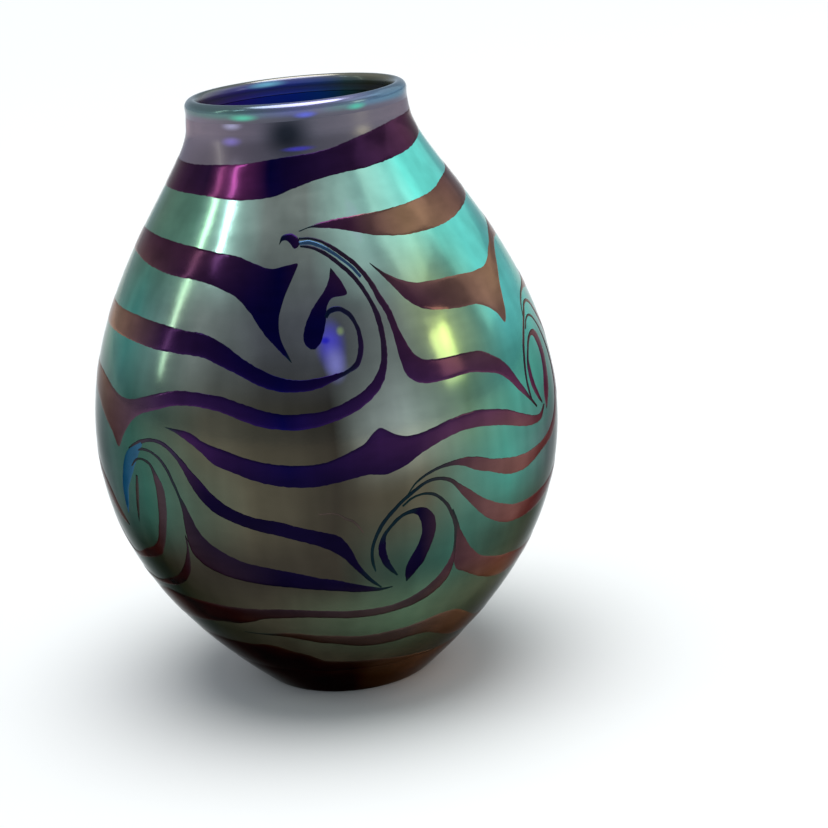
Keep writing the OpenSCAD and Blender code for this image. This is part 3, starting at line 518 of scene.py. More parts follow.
threadFinish = {
    "roughness": 0.15,
    "coat": 0.02,
    "edgeTints": ("#A09C9C", "#CCC4C0"),
    "gain": 1.3,
    "warp": {"size": 30, "detail": 1.5, "turn": 0.02, "rise": 0.03},
    # partly the trails' own colour, partly painted light: plum and amber towards the sides paint the sheen
    # seen from the front, rose at the neck is a painted highlight, and the russet and amber at the foot are
    # lightened to make up for the shade under the belly
    "bands": [
        (8, [(-180, "russet"), (-60, "umber"), (0, "umber"), (40, "amber"), (180, "russet")]),
        (28, [(-180, "plum"), (-90, "umber"), (-15, "umber"), (20, "cocoa"), (50, "amber"),
              (100, "cocoa"), (180, "plum")]),
        (50, [(-180, "ink"), (-110, "wine"), (-60, "umber"), (-15, "ink"), (20, "ink"), (50, "russet"),
              (110, "wine"), (180, "ink")]),
        (74, [(-180, "ink"), (-110, "wine"), (-65, "cocoa"), (-30, "ink"), (20, "ink"), (50, "russet"),
              (110, "wine"), (180, "ink")]),
        (98, [(-180, "midnight"), (-110, "wine"), (-70, "cocoa"), (-40, "plum"), (-10, "midnight"),
              (20, "plum"), (50, "wine"), (120, "wine"), (180, "midnight")]),
        (122, [(-180, "midnight"), (-110, "plum"), (-75, "amber"), (-45, "plum"), (-20, "midnight"),
               (5, "midnight"), (25, "wine"), (60, "amber"), (110, "wine"), (180, "midnight")]),
        (146, [(-180, "midnight"), (-100, "wine"), (-40, "wine"), (-10, "midnight"), (15, "wine"),
               (35, "amber"), (70, "russet"), (110, "plum"), (180, "midnight")]),
        (162, [(-180, "midnight"), (-100, "wine"), (-45, "plum"), (-30, "roseHighlight"), (-15, "midnight"),
               (20, "plum"), (60, "wine"), (180, "midnight")]),
    ],
}


def bandedColour(tree, turn, height, bands):
    # colours round the vase, blended from each band's height to the next one's
    below, colour = None, None
    for level, stops in bands:
        level = level / wall["height"]
        around = addNode(tree, "ShaderNodeValToRGB", {"stops": angleStops(stops)}, {0: turn}).outputs["Color"]
        if colour is None:
            colour = around
        else:
            share = addNode(tree, "ShaderNodeMapRange",
                            {"interpolation_type": "SMOOTHSTEP", "From Min": below, "From Max": level},
                            {"Value": height})
            colour = addNode(tree, "ShaderNodeMix", {"data_type": "RGBA"},
                             {0: share.outputs["Result"], 6: colour, 7: around}).outputs[2]
        below = level
    return colour


def addPaintedReflections(tree, coords, tone, paintedReflections):
    # painted highlights and reflections: soft patches of another colour, each at one place of the wall
    for bearing, level, depth, size, rise, soft, code in paintedReflections:
        centre = wallPoint(np.array([float(bearing)]), np.array([float(level)]), depth)[0] * mm
        apart = addNode(tree, "ShaderNodeVectorMath", {"operation": "SUBTRACT", 1: centre.tolist()},
                        {0: coords})
        scaled = addNode(tree, "ShaderNodeVectorMath",
                         {"operation": "MULTIPLY", 1: (1 / (size * mm), 1 / (size * mm), 1 / (rise * mm))},
                         {0: apart.outputs[0]})
        far = addNode(tree, "ShaderNodeVectorMath", {"operation": "LENGTH"}, {0: scaled.outputs[0]})
        near = addNode(tree, "ShaderNodeMapRange",
                       {"interpolation_type": "SMOOTHSTEP", "From Min": 1.0, "From Max": 1 - soft},
                       {"Value": far.outputs["Value"]})
        tone = addNode(tree, "ShaderNodeMix", {"data_type": "RGBA", 7: hexColour(code)},
                       {0: near.outputs["Result"], 6: tone}).outputs[2]
    return tone


# what every fumed skin shares, in millimetres where it is a length
fumeAndReflection = {
    # painted reflection: the curtains are upright bands of a mirrored room, and the next number says how far
    # they are drawn out upwards
    "reflectionHang": 0.14,  # how far the curtains are drawn out upwards
    "reliefDepth": 0.3,
    "roughnessBelow": 0.05,  # the streaks take the gloss up and down by these
    "roughnessAbove": 0.07,
    "coatRoughness": 0.08,
    "edgeFrom": 80,
    "edgeTo": 120,
}


def paintedLustre(name, finish, streak, thinColour=None):
    # fumed lustre skin: a metallic satin whose colour drifts round and up the vase
    material, tree = newMaterial(name)
    coords, turn, height = turnAndHeight(tree, finish["warp"])
    tone = bandedColour(tree, turn, height, finish["bands"])
    tone = addPaintedReflections(tree, coords, tone, finish.get("paintedReflections", []))
    if thinColour:
        # where a thread is pulled to a hair its glass goes a dark green
        share = addNode(tree, "ShaderNodeAttribute", {"attribute_name": "thin"})
        tone = addNode(tree, "ShaderNodeMix", {"data_type": "RGBA", 7: hexColour(thinColour)},
                       {0: share.outputs["Fac"], 6: tone}).outputs[2]
    # the glass was drawn round while soft: thin level streaks, stretched along the turn
    stretch = addNode(tree, "ShaderNodeMapping", {"Scale": (1.0, 1.0, streak["stretch"])}, {"Vector": coords})
    drawn = addNode(tree, "ShaderNodeTexNoise", {"Scale": 1 / (streak["size"] * mm), "Detail": 3.0},
                    {"Vector": stretch.outputs[0]})
    depth = addNode(tree, "ShaderNodeMapRange",
                    {"From Min": 0.3, "From Max": 0.7, "To Min": finish["gain"] * (1 - streak["depth"]),
                     "To Max": finish["gain"] * (1 + streak["depth"])},
                    {"Value": drawn.outputs["Fac"]})
    # painted reflection: soft upright curtains, lighter and darker, as of a room mirrored round the wall
    reflectionHang = addNode(tree, "ShaderNodeMapping", {"Scale": (1.0, 1.0, fumeAndReflection["reflectionHang"])}, {"Vector": coords})
    reflectionBands = addNode(tree, "ShaderNodeTexNoise", {"Scale": 1 / (streak["reflectionBands"] * mm), "Detail": 2.0},
                      {"Vector": reflectionHang.outputs[0]})
    roomReflection = addNode(tree, "ShaderNodeMapRange",
                    {"From Min": 0.3, "From Max": 0.7, "To Min": 1 - streak["fumeAndReflection"],
                     "To Max": 1 + streak["fumeAndReflection"]},
                    {"Value": reflectionBands.outputs["Fac"]})
    amount = addNode(tree, "ShaderNodeMath", {"operation": "MULTIPLY"},
                     {0: depth.outputs["Result"], 1: roomReflection.outputs["Result"]})
    colour = addNode(tree, "ShaderNodeVectorMath", {"operation": "SCALE"},
                     {0: tone, "Scale": amount.outputs[0]})
    skin = addNode(tree, "ShaderNodeTexNoise", {"Scale": 1 / (streak["skin"] * mm), "Detail": 2.0},
                   {"Vector": coords})
    relief = addNode(tree, "ShaderNodeBump",
                     {"Strength": streak["relief"], "Distance": fumeAndReflection["reliefDepth"] * mm},
                     {"Height": skin.outputs["Fac"]})
    rough = addNode(tree, "ShaderNodeMapRange",
                    {"To Min": finish["roughness"] - fumeAndReflection["roughnessBelow"],
                     "To Max": finish["roughness"] + fumeAndReflection["roughnessAbove"]},
                    {"Value": drawn.outputs["Fac"]})
    # painted shade: seen edge on, the reflection is tinted darker under the belly and paler towards the neck
    above = addNode(tree, "ShaderNodeMapRange",
                    {"interpolation_type": "SMOOTHSTEP", "From Min": fumeAndReflection["edgeFrom"] / wall["height"],
                     "From Max": fumeAndReflection["edgeTo"] / wall["height"]}, {"Value": height})
    lowTint, highTint = (hexColour(code) for code in finish["edgeTints"])
    edge = addNode(tree, "ShaderNodeMix", {"data_type": "RGBA", 6: lowTint, 7: highTint},
                   {0: above.outputs["Result"]})
    shader = addNode(tree, "ShaderNodeBsdfPrincipled",
                     {"Metallic": 1.0, "Coat Weight": finish["coat"],
                      "Coat Roughness": fumeAndReflection["coatRoughness"]},
                     {"Base Color": colour.outputs[0], "Roughness": rough.outputs["Result"],
                      "Specular Tint": edge.outputs[2], "Normal": relief.outputs["Normal"]})
    addNode(tree, "ShaderNodeOutputMaterial", links={"Surface": shader.outputs[0]})
    return material


# the last two numbers of each: size and depth of the painted upright reflection bands
lustreStreak = {"size": 14, "stretch": 3.0, "depth": 0.06, "skin": 9, "relief": 0.10,
                "reflectionBands": 9, "fumeAndReflection": 0.16}
threadStreak = {"size": 9, "stretch": 3.0, "depth": 0.10, "skin": 8, "relief": 0.08,
                "reflectionBands": 8, "fumeAndReflection": 0.14}
# silver fumed on the body: a soft mirror that drifts through teal to olive, with painted mint and citron
# highlights and painted shade towards the foot
lustreGlass = paintedLustre("fumedSilverLustreGlass", lustreFinish, lustreStreak)
# the dark trails: near black in front, with plum and amber towards the sides painted as a fixed sheen round
# the vase, green where they thin
threadGlass = paintedLustre("trailedMidnightGlass", threadFinish, threadStreak, "#0A2220")
# the loose hair beside the lower swirl: a faint brown line
hairGlass = paintedLustre("pulledBrownHair", threadFinish, threadStreak, "#453B34")
filmFinish = dict(threadFinish, bands=[
    (60, [(-180, "petrol"), (0, "steel"), (180, "petrol")]),
    (130, [(-180, "steel"), (-60, "petrol"), (-20, "steel"), (180, "steel")]),
])
# dark glass drawn so thin that it turns steel blue
filmGlass = paintedLustre("drawnSteelBlueFilm", filmFinish, threadStreak)

# what every glossy glass shares, in millimetres where it is a length
gloss = {
    "waveSize": 7,
    "waveStrength": 0.12,
    "waveDepth": 0.4,
    "coatRoughness": 0.04,
}


def glossGlass(name, finish):
    # blown glass with a wet gloss, its colour drifting round and up;
    # a finish with an inside turns to the core's colour towards the hollow, between two radii
    material, tree = newMaterial(name)
    coords, turn, height = turnAndHeight(tree, finish["warp"])
    tone = bandedColour(tree, turn, height, finish["bands"])
    metallic = {}
    if "inside" in finish:
        flat = addNode(tree, "ShaderNodeVectorMath", {"operation": "MULTIPLY", 1: (1, 1, 0)}, {0: coords})
        reach = addNode(tree, "ShaderNodeVectorMath", {"operation": "LENGTH"}, {0: flat.outputs[0]})
        outwards = addNode(tree, "ShaderNodeMapRange",
                           {"From Min": finish["inside"][0] * mm, "From Max": finish["inside"][1] * mm},
                           {"Value": reach.outputs["Value"]})
        hollow = bandedColour(tree, turn, height, coreFinish["bands"])
        tone = addNode(tree, "ShaderNodeMix", {"data_type": "RGBA"},
                       {0: outwards.outputs["Result"], 6: hollow, 7: tone}).outputs[2]
        shine = addNode(tree, "ShaderNodeMath", {"operation": "MULTIPLY", 1: finish["metallic"]},
                        {0: outwards.outputs["Result"]})
        metallic = {"Metallic": shine.outputs[0]}
    tone = addPaintedReflections(tree, coords, tone, finish.get("paintedReflections", []))
    wave = addNode(tree, "ShaderNodeTexNoise", {"Scale": 1 / (gloss["waveSize"] * mm), "Detail": 1.0},
                   {"Vector": coords})
    relief = addNode(tree, "ShaderNodeBump",
                     {"Strength": gloss["waveStrength"], "Distance": gloss["waveDepth"] * mm},
                     {"Height": wave.outputs["Fac"]})
    shader = addNode(tree, "ShaderNodeBsdfPrincipled",
                     {"Metallic": finish["metallic"], "Roughness": finish["roughness"],
                      "Coat Weight": finish["coat"], "Coat Roughness": gloss["coatRoughness"],
                      "Specular Tint": hexColour(finish["edgeTint"])},
                     dict(metallic, **{"Base Color": tone, "Normal": relief.outputs["Normal"]}))
    addNode(tree, "ShaderNodeOutputMaterial", links={"Surface": shader.outputs[0]})
    return material


softWarp = {"size": 40, "detail": 1.0, "turn": 0.03, "rise": 0.02}
coreFinish = {
    "metallic": 0.0,
    "roughness": 0.14,
    "coat": 0.3,
    "edgeTint": "#C0C8E0",
    "warp": softWarp,
    # painted shade and reflection: dark low in the hollow, brighter blue near the mouth, violet-brown on the
    # left and olive-black on the right
    "bands": [
        (110, [(-180, "#0C1650"), (-100, "#1C1434"), (0, "#0A1038"), (100, "#10141C"), (180, "#0C1650")]),
        (168, [(-180, "#1838B0"), (-162, "#2034B0"), (-145, "#34269A"), (-125, "#46307A"), (-105, "#5A4448"),
               (-60, "#3A3040"), (0, "#142070"), (60, "#1C2434"), (95, "#34341C"), (128, "#2C341C"),
               (148, "#1E4A54"), (165, "#1444A0"), (180, "#1838B0")]),
    ],
}
casingFinish = {
    # painted reflections: a dark reflection at the front of the neck, lavender and blue-violet highlights, a
    # pink sheen at the left edge
    "paintedReflections": [
        (-6, 171.5, 0, 9.5, 8.0, 0.9, "#1E222C"),
        (-35, 174.4, 0, 4.6, 1.6, 1.0, "#B4ACC8"),
        (-35.5, 170, 0, 4.6, 1.8, 1.0, "#9A86CC"),
        (-1, 167.3, 0, 6.0, 0.9, 0.9, "#5A50D0"),
        (-78, 173, 0, 5.0, 4.0, 1.0, "#B8949C"),
    ],
    "metallic": 0.85,
    "roughness": 0.26,
    "coat": 0.1,
    "edgeTint": "#B0B0B8",
    "warp": softWarp,
    # the bands darken the front of the neck under its painted dark reflection
    "bands": [
        (10, [(-180, "#342C34"), (0, "#342C34"), (180, "#342C34")]),
        (150, [(-180, "#7A707C"), (-90, "#8E7C86"), (-60, "#867882"), (-34, "#766A76"), (-20, "#6A626E"),
               (-6, "#5A5A66"), (12, "#6E6872"), (30, "#78707A"), (60, "#7E727C"), (90, "#7C6C78"),
               (180, "#7A7080")]),
    ],
}
lipFinish = {
    # painted highlights: mint and blue spots outside, cyan on the far inner rim
    "paintedReflections": [
        (-28, 176.6, 0, 6.0, 1.3, 1.0, "#5CBCA0"),
        (4, 176.4, 0, 4.4, 1.2, 1.0, "#6068D0"),
        (31, 176.8, 0, 4.4, 1.3, 1.0, "#54B4A0"),
        (-163, 178.4, 3.4, 8.0, 1.2, 1.0, "#90E0FF"),
    ],
    "metallic": 0.85,
    "roughness": 0.20,
    "coat": 0.2,
    "edgeTint": "#C0C8D0",
    "warp": {"size": 16, "detail": 1.0, "turn": 0.03, "rise": 0.003},
    "inside": (28.6, 29.6),
    "bands": [
        (175.6, [(-180, "#6C6470"), (-90, "#7E6E78"), (-60, "#766A78"), (-34, "#64606A"), (-12, "#52525E"),
                 (4, "#4A4C5A"), (12, "#5C5A66"), (60, "#666070"), (180, "#6C6470")]),
        (177.4, [(-180, "#8A887A"), (-120, "#7E887E"), (-60, "#5E7474"), (-32, "#547A76"), (-14, "#5C6480"),
                 (0, "#5C6090"), (12, "#686880"), (22, "#607A80"), (40, "#5A7690"), (70, "#527A90"),
                 (110, "#8A8672"), (180, "#8A887A")]),
        # painted highlight: the lavender-white of this top band from 12 to 28 degrees
        (180, [(-180, "#8C887A"), (-120, "#848880"), (-60, "#6E8284"), (-30, "#66787C"), (-8, "#8084A4"),
               (12, "#9C98C8"), (28, "#A6A2CC"), (45, "#7A92AE"), (75, "#7A92A2"), (110, "#908A74"),
               (180, "#8C887A")]),
    ],
}
# deep blue seen down the mouth, darker deeper in as painted shade, with painted reflections round the mouth
coreGlass = glossGlass("blownCobaltGlass", coreFinish)
# smoky lilac-grey of the neck, with a dull mirror, a painted dark reflection at its front and painted
# highlights
casingGlass = glossGlass("casedAmethystGlass", casingFinish)
# the rolled edge, blue-green outside and cobalt towards the hollow, bright from a painted highlight band
# along its top
lipGlass = glossGlass("firePolishedLipGlass", lipFinish)
print("materials mixed")


# Threads

ribbon = {
    "spacing": 0.45,
    "across": 10,
    "rise": 0.12,
    "riseOfWidth": 0.14,
    "sink": 0.10,
    "thinBelow": 2.2,
    "wobble": 0.10,
    "wobblePitch": 0.9,
}


def smoothRun(stations, spacing):
    # a curve through every station, cubic between neighbours, its tangents weighted by chord
    s = np.asarray(stations, float)
    gap = np.maximum(np.linalg.norm(np.diff(s, axis=0), axis=1), 0.01)[:, None]
    slope = np.diff(s, axis=0) / gap
    inner = (slope[:-1] * gap[1:] + slope[1:] * gap[:-1]) / (gap[:-1] + gap[1:])
    tangent = np.concatenate([slope[:1], inner, slope[-1:]])
    parts = []
    for i, g in enumerate(gap[:, 0]):
        steps = max(2, int(np.ceil(g / spacing)))
        t = np.arange(steps) / steps
        parts.append(bezier(s[i], s[i] + tangent[i] * g / 3, s[i + 1] - tangent[i + 1] * g / 3, s[i + 1], t))
    return np.concatenate(parts + [s[-1:]])


def edgeNoise(length, pitch, seed):
    # smooth random numbers along a run, one knot per pitch
    rng = np.random.default_rng(seed)
    knots = rng.uniform(-1, 1, int(length[-1] / pitch) + 2)
    return np.interp(length / pitch, np.arange(len(knots)), knots)


def addThread(name, stations, node, material, seed):
    # a ribbon laid on the wall: across it the height is flat on top and rounds off to both edges
    run = smoothRun(stations, ribbon["spacing"])
    left = wallPoint(run[:, 0], run[:, 1], 0)
    right = wallPoint(run[:, 2], run[:, 3], 0)
    width = np.linalg.norm(right - left, axis=1)
    middle = (left + right) / 2
    length = np.concatenate([[0], np.cumsum(np.linalg.norm(np.diff(middle, axis=0), axis=1))])
    fade = np.clip(width / 2.0, 0, 1) * ribbon["wobble"] / np.maximum(width, 0.2)
    stir = edgeNoise(length, ribbon["wobblePitch"], seed) * fade
    stirRight = edgeNoise(length, ribbon["wobblePitch"], seed + 1) * fade
    across = np.linspace(0, 1, ribbon["across"] + 1)
    across = 0.5 - 0.5 * np.cos(np.pi * across)
    s = across[None, :] * (1 + stirRight[:, None] - stir[:, None]) + stir[:, None]
    angle = run[:, 0:1] * (1 - s) + run[:, 2:3] * s
    z = run[:, 1:2] * (1 - s) + run[:, 3:4] * s
    rise = np.minimum(ribbon["rise"], ribbon["riseOfWidth"] * width)[:, None]
    side = np.abs(2 * across - 1)[None, :]
    lift = rise * (1 - side ** 4) ** 0.5
    dip = np.minimum(0.02, rise * 0.1)
    top = wallPoint(angle, z, -(lift - dip))
    under = wallPoint(angle[:, ::-1], z[:, ::-1], np.minimum(ribbon["sink"], 0.5 * rise) + 0 * angle)[:, 1:-1]
    rings = np.concatenate([top, under], axis=1)
    rows, columns = rings.shape[:2]
    faces = gridFaces(rows, columns, False, True).tolist()
    faces.append(list(range(columns)))
    faces.append(list(range((rows - 1) * columns, rows * columns)))
    thin = np.repeat(np.clip(1 - width / ribbon["thinBelow"], 0, 1), columns)
    return addPiece(name, rings, faces, node, material, 60, thin)


threads = {
    "neckTurn": ("neck_turn", neckRun),
    "shoulderTurn": ("shoulder_turn", shoulderRun),
    "upperTurn": ("upper_turn", upperRun),
    "middleTurn": ("middle_turn", middleRun),
    "bellyTurn": ("belly_turn", bellyRun),
    "footTurn": ("foot_turn", footRim),
    "frontLeg": ("front_leg", frontDown),
    "frontComma": ("front_comma", frontCommaRun),
    "frontHook": ("front_hook", frontHookRun),
    "rightRing": ("right_ring", placed(lowerRingRun, rightPlace)),
    "rightArch": ("right_arch", rightOverRun),
    "rightLeg": ("right_leg", rightDownRun),
    "rightLoop": ("right_loop", rightUnderRun),
    "farRightRing": ("far_right_ring", placed(lowerRingRun, farRightPlace)),
    "farRightArch": ("far_right_arch", farRightOverRun),
    "farRightLeg": ("far_right_leg", farRightDownRun),
    "farRightLoop": ("far_right_loop", farRightUnderRun),
    "backRing": ("back_ring", placed(lowerRingRun, backPlace)),
    "backArch": ("back_arch", backOverRun),
    "backLeg": ("back_leg", backDownRun),
    "backLoop": ("back_loop", backUnderRun),
    "farLeftRing": ("far_left_ring", placed(lowerRingRun, farLeftPlace)),
    "farLeftArch": ("far_left_arch", farLeftOverRun),
    "farLeftLeg": ("far_left_leg", farLeftDownRun),
    "farLeftLoop": ("far_left_loop", farLeftUnderRun),
    "leftVein": ("left_vein", leftVeinRun),
    "leftArch": ("left_arch", leftOverRun),
    "leftLeg": ("left_leg", leftDownRun),
    "leftLoop": ("left_loop", leftUnder),
    "lowerRing": ("lower_ring", lowerRingRun),
    "lowerLoop": ("lower_loop", lowerUnderRun),
    "lowerHair": ("lower_hair", lowerHairRun),
}
films = {
    "frontFilm": ("front_film", frontFilmRun),
    "leftFilm": ("left_film", leftFilmRun),
}
for count, (name, (node, stations)) in enumerate(threads.items()):
    glass = hairGlass if name == "lowerHair" else threadGlass
    addThread(name, stations, node, glass, 2 * count)
for count, (name, (node, stations)) in enumerate(films.items()):
    addThread(name, stations, node, filmGlass, 100 + 2 * count)
print("threads laid:", len(threads) + len(films))


# Lustre skin, casing, core, lip and foot wrap

shell = {
    "around": 360,
    "rows": 170,
    # top edge of the lustre at angles round the vase, hidden under the neck turn
    "topAngles": (-75, -20, 0, 30, 60, 110, 150, 180, 230, 285),
    "topHeights": (160, 159.5, 162, 164.5, 167, 169.5, 171.5, 173.5, 158.5, 160),
    "topCorner": 20,  # half the window, in degrees, that rounds the corners of that edge
    "topSamples": 17,
    "thinning": 12.0,
    "film": 0.06,
    "hollowRadius": 14,  # polished pontil hollow in the foot
    "hollowRise": 1.6,
    "groundDepth": 0.8,
    "casingFloor": 6,
    "coreFloor": 12,
    "wrapHeight": 12.9,
    "wrapLift": 0.22,
    "wrapSink": 0.03,
}


def lustreTop(angle):
    # height of the lustre's top edge at each angle: the mean over a window of angles rounds every corner
    first = shell["topAngles"][0]
    shifts = np.linspace(-shell["topCorner"], shell["topCorner"], shell["topSamples"])
    windows = [np.mod(angle + shift - first, 360) + first for shift in shifts]
    return np.mean([np.interp(w, shell["topAngles"], shell["topHeights"]) for w in windows], axis=0)


def lustreDepth(angle, z):
    # thickness of the lustre: full on the body, thinning to a film at its top edge
    near = np.clip((lustreTop(angle) - z) / shell["thinning"], 0, 1)
    return shell["film"] + (wall["lustre"] - shell["film"]) * near * near * (3 - 2 * near)


def turned(angles, profileRows):
    # closed rings: each row of (r, z) arrays carried round the axis
    r, z = profileRows
    a = np.radians(angles)[:, None]
    return np.stack([r * np.sin(a), -r * np.cos(a), z + 0 * a], axis=-1)


def addLustre():
    # outer face up the wall to the top edge, inner face back down at the lustre's thickness
    angles = np.arange(shell["around"]) * 360 / shell["around"]
    share = np.linspace(0, 1, shell["rows"])[None, :]
    z = lustreTop(angles)[:, None] * share
    angle = angles[:, None] + 0 * z
    outside = wallPoint(angle, z, 0)
    back = z[:, ::-4]
    inside = wallPoint(angle[:, ::-4], back, lustreDepth(angle[:, ::-4], back))
    inside[:, :, 2] = np.maximum(inside[:, :, 2], 0)
    rings = np.concatenate([outside, inside], axis=1)
    faces = gridFaces(rings.shape[0], rings.shape[1], True, True).tolist()
    addPiece("lustreSkin", rings, faces, "lustre_overlay", lustreGlass)


def addCasing():
    # pontil hollow, ground ring, up behind the lustre to the neck, back down the core, closed on the axis
    angles = np.arange(shell["around"]) * 360 / shell["around"]
    hollow = np.linspace(0, 90, 12)
    ground = np.stack([shell["hollowRadius"] * np.sin(np.radians(hollow)),
                       shell["hollowRise"] * np.cos(np.radians(hollow))], -1)
    ring = np.broadcast_to(turned(angles, (ground[None, :, 0], ground[None, :, 1])), (len(angles), 12, 3))
    z = np.linspace(0.0, wall["neckBase"], 120)[None, :] + 0 * angles[:, None]
    angle = angles[:, None] + 0 * z
    depth = np.where(z < lustreTop(angle), lustreDepth(angle, z), shell["film"])
    depth[:, 0] = shell["groundDepth"]
    outside = wallPoint(angle, z, depth)
    outside[:, :, 2] = np.clip(outside[:, :, 2], 0, wall["neckBase"])
    down = z[:, ::-3]
    down = down[:, down[0] > shell["coreFloor"]]
    inside = wallPoint(angle[:, :down.shape[1]], down, wall["lustre"] + wall["casing"])
    inside[:, :, 2] = np.minimum(inside[:, :, 2], wall["neckBase"])
    floor = np.linspace(1, 0, 10)[None, :]
    last = inside[:, -1]
    r = np.linalg.norm(last[:, :2], axis=1)[:, None] * floor
    zf = shell["casingFloor"] + (last[:, 2:3] - shell["casingFloor"]) * floor ** 3
    base = turned(angles, (r, zf))
    rings = np.concatenate([ring, outside, inside, base], axis=1)
    faces = gridFaces(rings.shape[0], rings.shape[1], True, False).tolist()
    addPiece("casingGather", rings, faces, "casing_gather", casingGlass)


def addCore():
    # two nested bowls: outside against the casing, inside round the hollow, joined at the neck;
    # a bowl's floor rises from the axis as the cube of the share of its radius
    angles = np.arange(180) * 2.0

    def bowl(depth, floorZ, startZ, count):
        z = np.linspace(startZ, wall["neckBase"], count)[None, :] + 0 * angles[:, None]
        side = wallPoint(angles[:, None] + 0 * z, z, depth)
        side[:, :, 2] = np.minimum(side[:, :, 2], wall["neckBase"])
        share = np.linspace(0, 1, 12)[None, :-1]
        first = side[:, 0]
        r = np.linalg.norm(first[:, :2], axis=1)[:, None] * share
        base = turned(angles, (r, floorZ + (first[:, 2:3] - floorZ) * share ** 3))
        return np.concatenate([base, side], axis=1)

    skin = wall["lustre"] + wall["casing"]
    outer = bowl(skin, shell["casingFloor"], shell["coreFloor"], 80)
    inner = bowl(skin + wall["core"], shell["coreFloor"], shell["coreFloor"] + 6, 110)
    rings = np.concatenate([outer, inner[:, ::-1]], axis=1)
    faces = gridFaces(rings.shape[0], rings.shape[1], True, False).tolist()
    addPiece("coreGather", rings, faces, "core_gather", coreGlass)


lip = {"roll": 2.4, "overhang": 0.1, "wave": 0.12}


def addLip():
    # a round roll on the cut neck: a circle outside, an ellipse inside that ends flush with the core,
    # its radius waved by two sines round the rim, its outer foot running down into the neck
    angles = np.arange(240) * 1.5
    waist = wall["neckRadius"] - wall["neckWaist"]
    centre = waist + lip["overhang"] - lip["roll"]
    top = wall["height"] - lip["roll"]
    phi = np.radians(np.linspace(-10, 205, 40))[None, :]
    wave = lip["wave"] * (np.sin(np.radians(2 * angles + 40)) + 0.5 * np.sin(np.radians(3 * angles)))[:, None]
    size = lip["roll"] - 0.06 - 0.25 * np.abs(wave)
    inner = waist - wall["lustre"] - wall["casing"] - wall["core"]
    r = centre + np.where(np.cos(phi) > 0, size, centre - inner - 0.02) * np.cos(phi)
    z = top + size * np.sin(phi)
    footR = np.array([[inner, (inner + waist) / 2, waist - 0.06, waist - 0.10]]) + 0 * wave
    footZ = wall["neckBase"] + np.array([[0, 0, 0, 1.2]]) + 0 * footR
    rings = turned(angles, (np.concatenate([footR, r], 1), np.concatenate([footZ, z], 1)))
    faces = gridFaces(rings.shape[0], rings.shape[1], True, True).tolist()
    addPiece("lipBead", rings, faces, "lip_bead", lipGlass)


def addFootWrap():
    # dark wrap round the foot, thinning to nothing at its top edge under the foot turn
    angles = np.arange(shell["around"]) * 360 / shell["around"]
    z = np.linspace(0, shell["wrapHeight"], 24)[None, :] + 0 * angles[:, None]
    lift = shell["wrapLift"] * (1 - (z / shell["wrapHeight"]) ** 6)
    angle = angles[:, None] + 0 * z
    outside = wallPoint(angle, z, -lift)
    inside = wallPoint(angle[:, ::-3], z[:, ::-3], shell["wrapSink"])
    rings = np.concatenate([outside, inside], axis=1)
    rings[:, :, 2] = np.maximum(rings[:, :, 2], 0)
    faces = gridFaces(rings.shape[0], rings.shape[1], True, True).tolist()
    addPiece("footWrap", rings, faces, "foot_wrap", threadGlass)


addLustre()
addCasing()
addCore()
addLip()
addFootWrap()
print("glass layers blown:", len(madePieces), "pieces in all")


# Floor, light and camera

studio = {
    "floorSize": 8.0,
    "target": (0.0, 0.0, 0.09),
    "distance": 0.65,
    "elevation": 15.0,
    "roll": 5.6,
    "lens": 92.96,
    "shift": (0.1094, -0.0371),
    "worldColour": "#9098A0",
    "horizonStrength": 2.3,
    "worldStrength": 1.25,
    "sunPower": 2.3,
    "sunSpread": 50,
    "floorColour": "#F4F3F1",
    "floorRoughness": 0.9,
}


def addFloor():
    # one flat square of matte paper under the foot
    mesh = bpy.data.meshes.new("floor")
    half = studio["floorSize"] / 2
    corners = [(-half, -half, 0), (half, -half, 0), (half, half, 0), (-half, half, 0)]
    mesh.from_pydata(corners, [], [(0, 1, 2, 3)])
    floor = bpy.data.objects.new("floor", mesh)
    bpy.context.scene.collection.objects.link(floor)
    material, tree = newMaterial("matteWhitePaper")
    shader = addNode(tree, "ShaderNodeBsdfPrincipled",
                     {"Base Color": hexColour(studio["floorColour"]), "Roughness": studio["floorRoughness"]})
    addNode(tree, "ShaderNodeOutputMaterial", links={"Surface": shader.outputs[0]})
    mesh.materials.append(material)


def addSoftbox(name, bearing, height, distance, size, power, colour):
    # a lit rectangle at a bearing and height round the vase, facing it
    light = bpy.data.lights.new(name, "AREA")
    light.shape = "RECTANGLE"
    light.size = size[0]
    light.size_y = size[1]
    light.energy = power
    light.color = hexColour(colour)[:3]
    box = bpy.data.objects.new(name, light)
    bpy.context.scene.collection.objects.link(box)
    a, h = math.radians(bearing), math.radians(height)
    away = Vector((math.sin(a) * math.cos(h), -math.cos(a) * math.cos(h), math.sin(h)))
    place = Vector(studio["target"]) + away * distance
    box.matrix_world = Matrix.Translation(place) @ away.to_track_quat("Z", "Y").to_matrix().to_4x4()


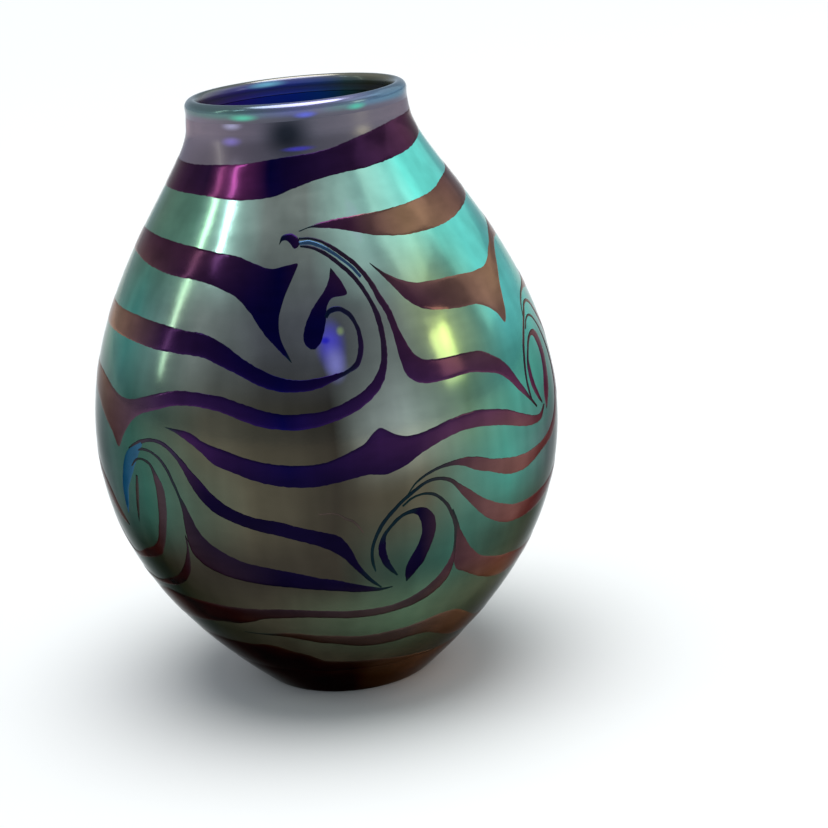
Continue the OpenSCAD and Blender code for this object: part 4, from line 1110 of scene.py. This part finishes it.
# each softbox: bearing from the front and height above the level, in degrees, distance, size, power, colour
softboxes = {
    "leftStrip": (-90, 26, 1.5, (0.05, 0.85), 0.7, "#F0FFE4"),
    "leftStripHigh": (-74, 45, 1.5, (0.04, 0.36), 0.4, "#EAFBFF"),
    "rightWindow": (67, 15, 1.5, (0.30, 0.40), 0.78, "#FAFFC0"),
    "rightWindowHigh": (86, 42, 1.5, (1.10, 0.50), 0.65, "#F4FFFA"),
    "rightBack": (122, 28, 1.5, (1.30, 0.90), 1.5, "#F4FFFA"),
}
world = bpy.data.worlds.new("softRoom")
world.use_nodes = True
world.node_tree.nodes["Background"].inputs["Color"].default_value = hexColour(studio["worldColour"])
upwards = addNode(world.node_tree, "ShaderNodeSeparateXYZ",
                  links={0: addNode(world.node_tree, "ShaderNodeTexCoord").outputs["Generated"]})
glow = addNode(world.node_tree, "ShaderNodeMapRange",
               {"interpolation_type": "SMOOTHSTEP", "From Max": 0.45, "To Min": studio["horizonStrength"],
                "To Max": studio["worldStrength"]}, {"Value": upwards.outputs["Z"]})
world.node_tree.links.new(glow.outputs["Result"], world.node_tree.nodes["Background"].inputs["Strength"])
bpy.context.scene.world = world
bpy.context.scene.view_settings.view_transform = "Standard"
sun = bpy.data.lights.new("skylight", "SUN")
sun.energy = studio["sunPower"]
sun.angle = math.radians(studio["sunSpread"])
skylight = bpy.data.objects.new("skylight", sun)
bpy.context.scene.collection.objects.link(skylight)
addFloor()
for name, values in softboxes.items():
    addSoftbox(name, *values)

camera = bpy.data.cameras.new("camera")
camera.lens = studio["lens"]
camera.sensor_width = 36.0
camera.shift_x, camera.shift_y = studio["shift"]
camera.clip_start = 0.01
tilt = math.radians(studio["elevation"])
lean = math.radians(studio["roll"])
forward = np.array([0, math.cos(tilt), -math.sin(tilt)])
upright = np.array([0, math.sin(tilt), math.cos(tilt)])
sideways = np.array([1.0, 0, 0])
axisX = math.cos(lean) * sideways - math.sin(lean) * upright
axisY = math.sin(lean) * sideways + math.cos(lean) * upright
eye = np.array(studio["target"]) - forward * studio["distance"]
viewer = bpy.data.objects.new("camera", camera)
bpy.context.scene.collection.objects.link(viewer)
viewer.matrix_world = Matrix([[axisX[i], axisY[i], -forward[i], eye[i]] for i in range(3)] + [[0, 0, 0, 1]])
bpy.context.scene.camera = viewer
print("studio set")
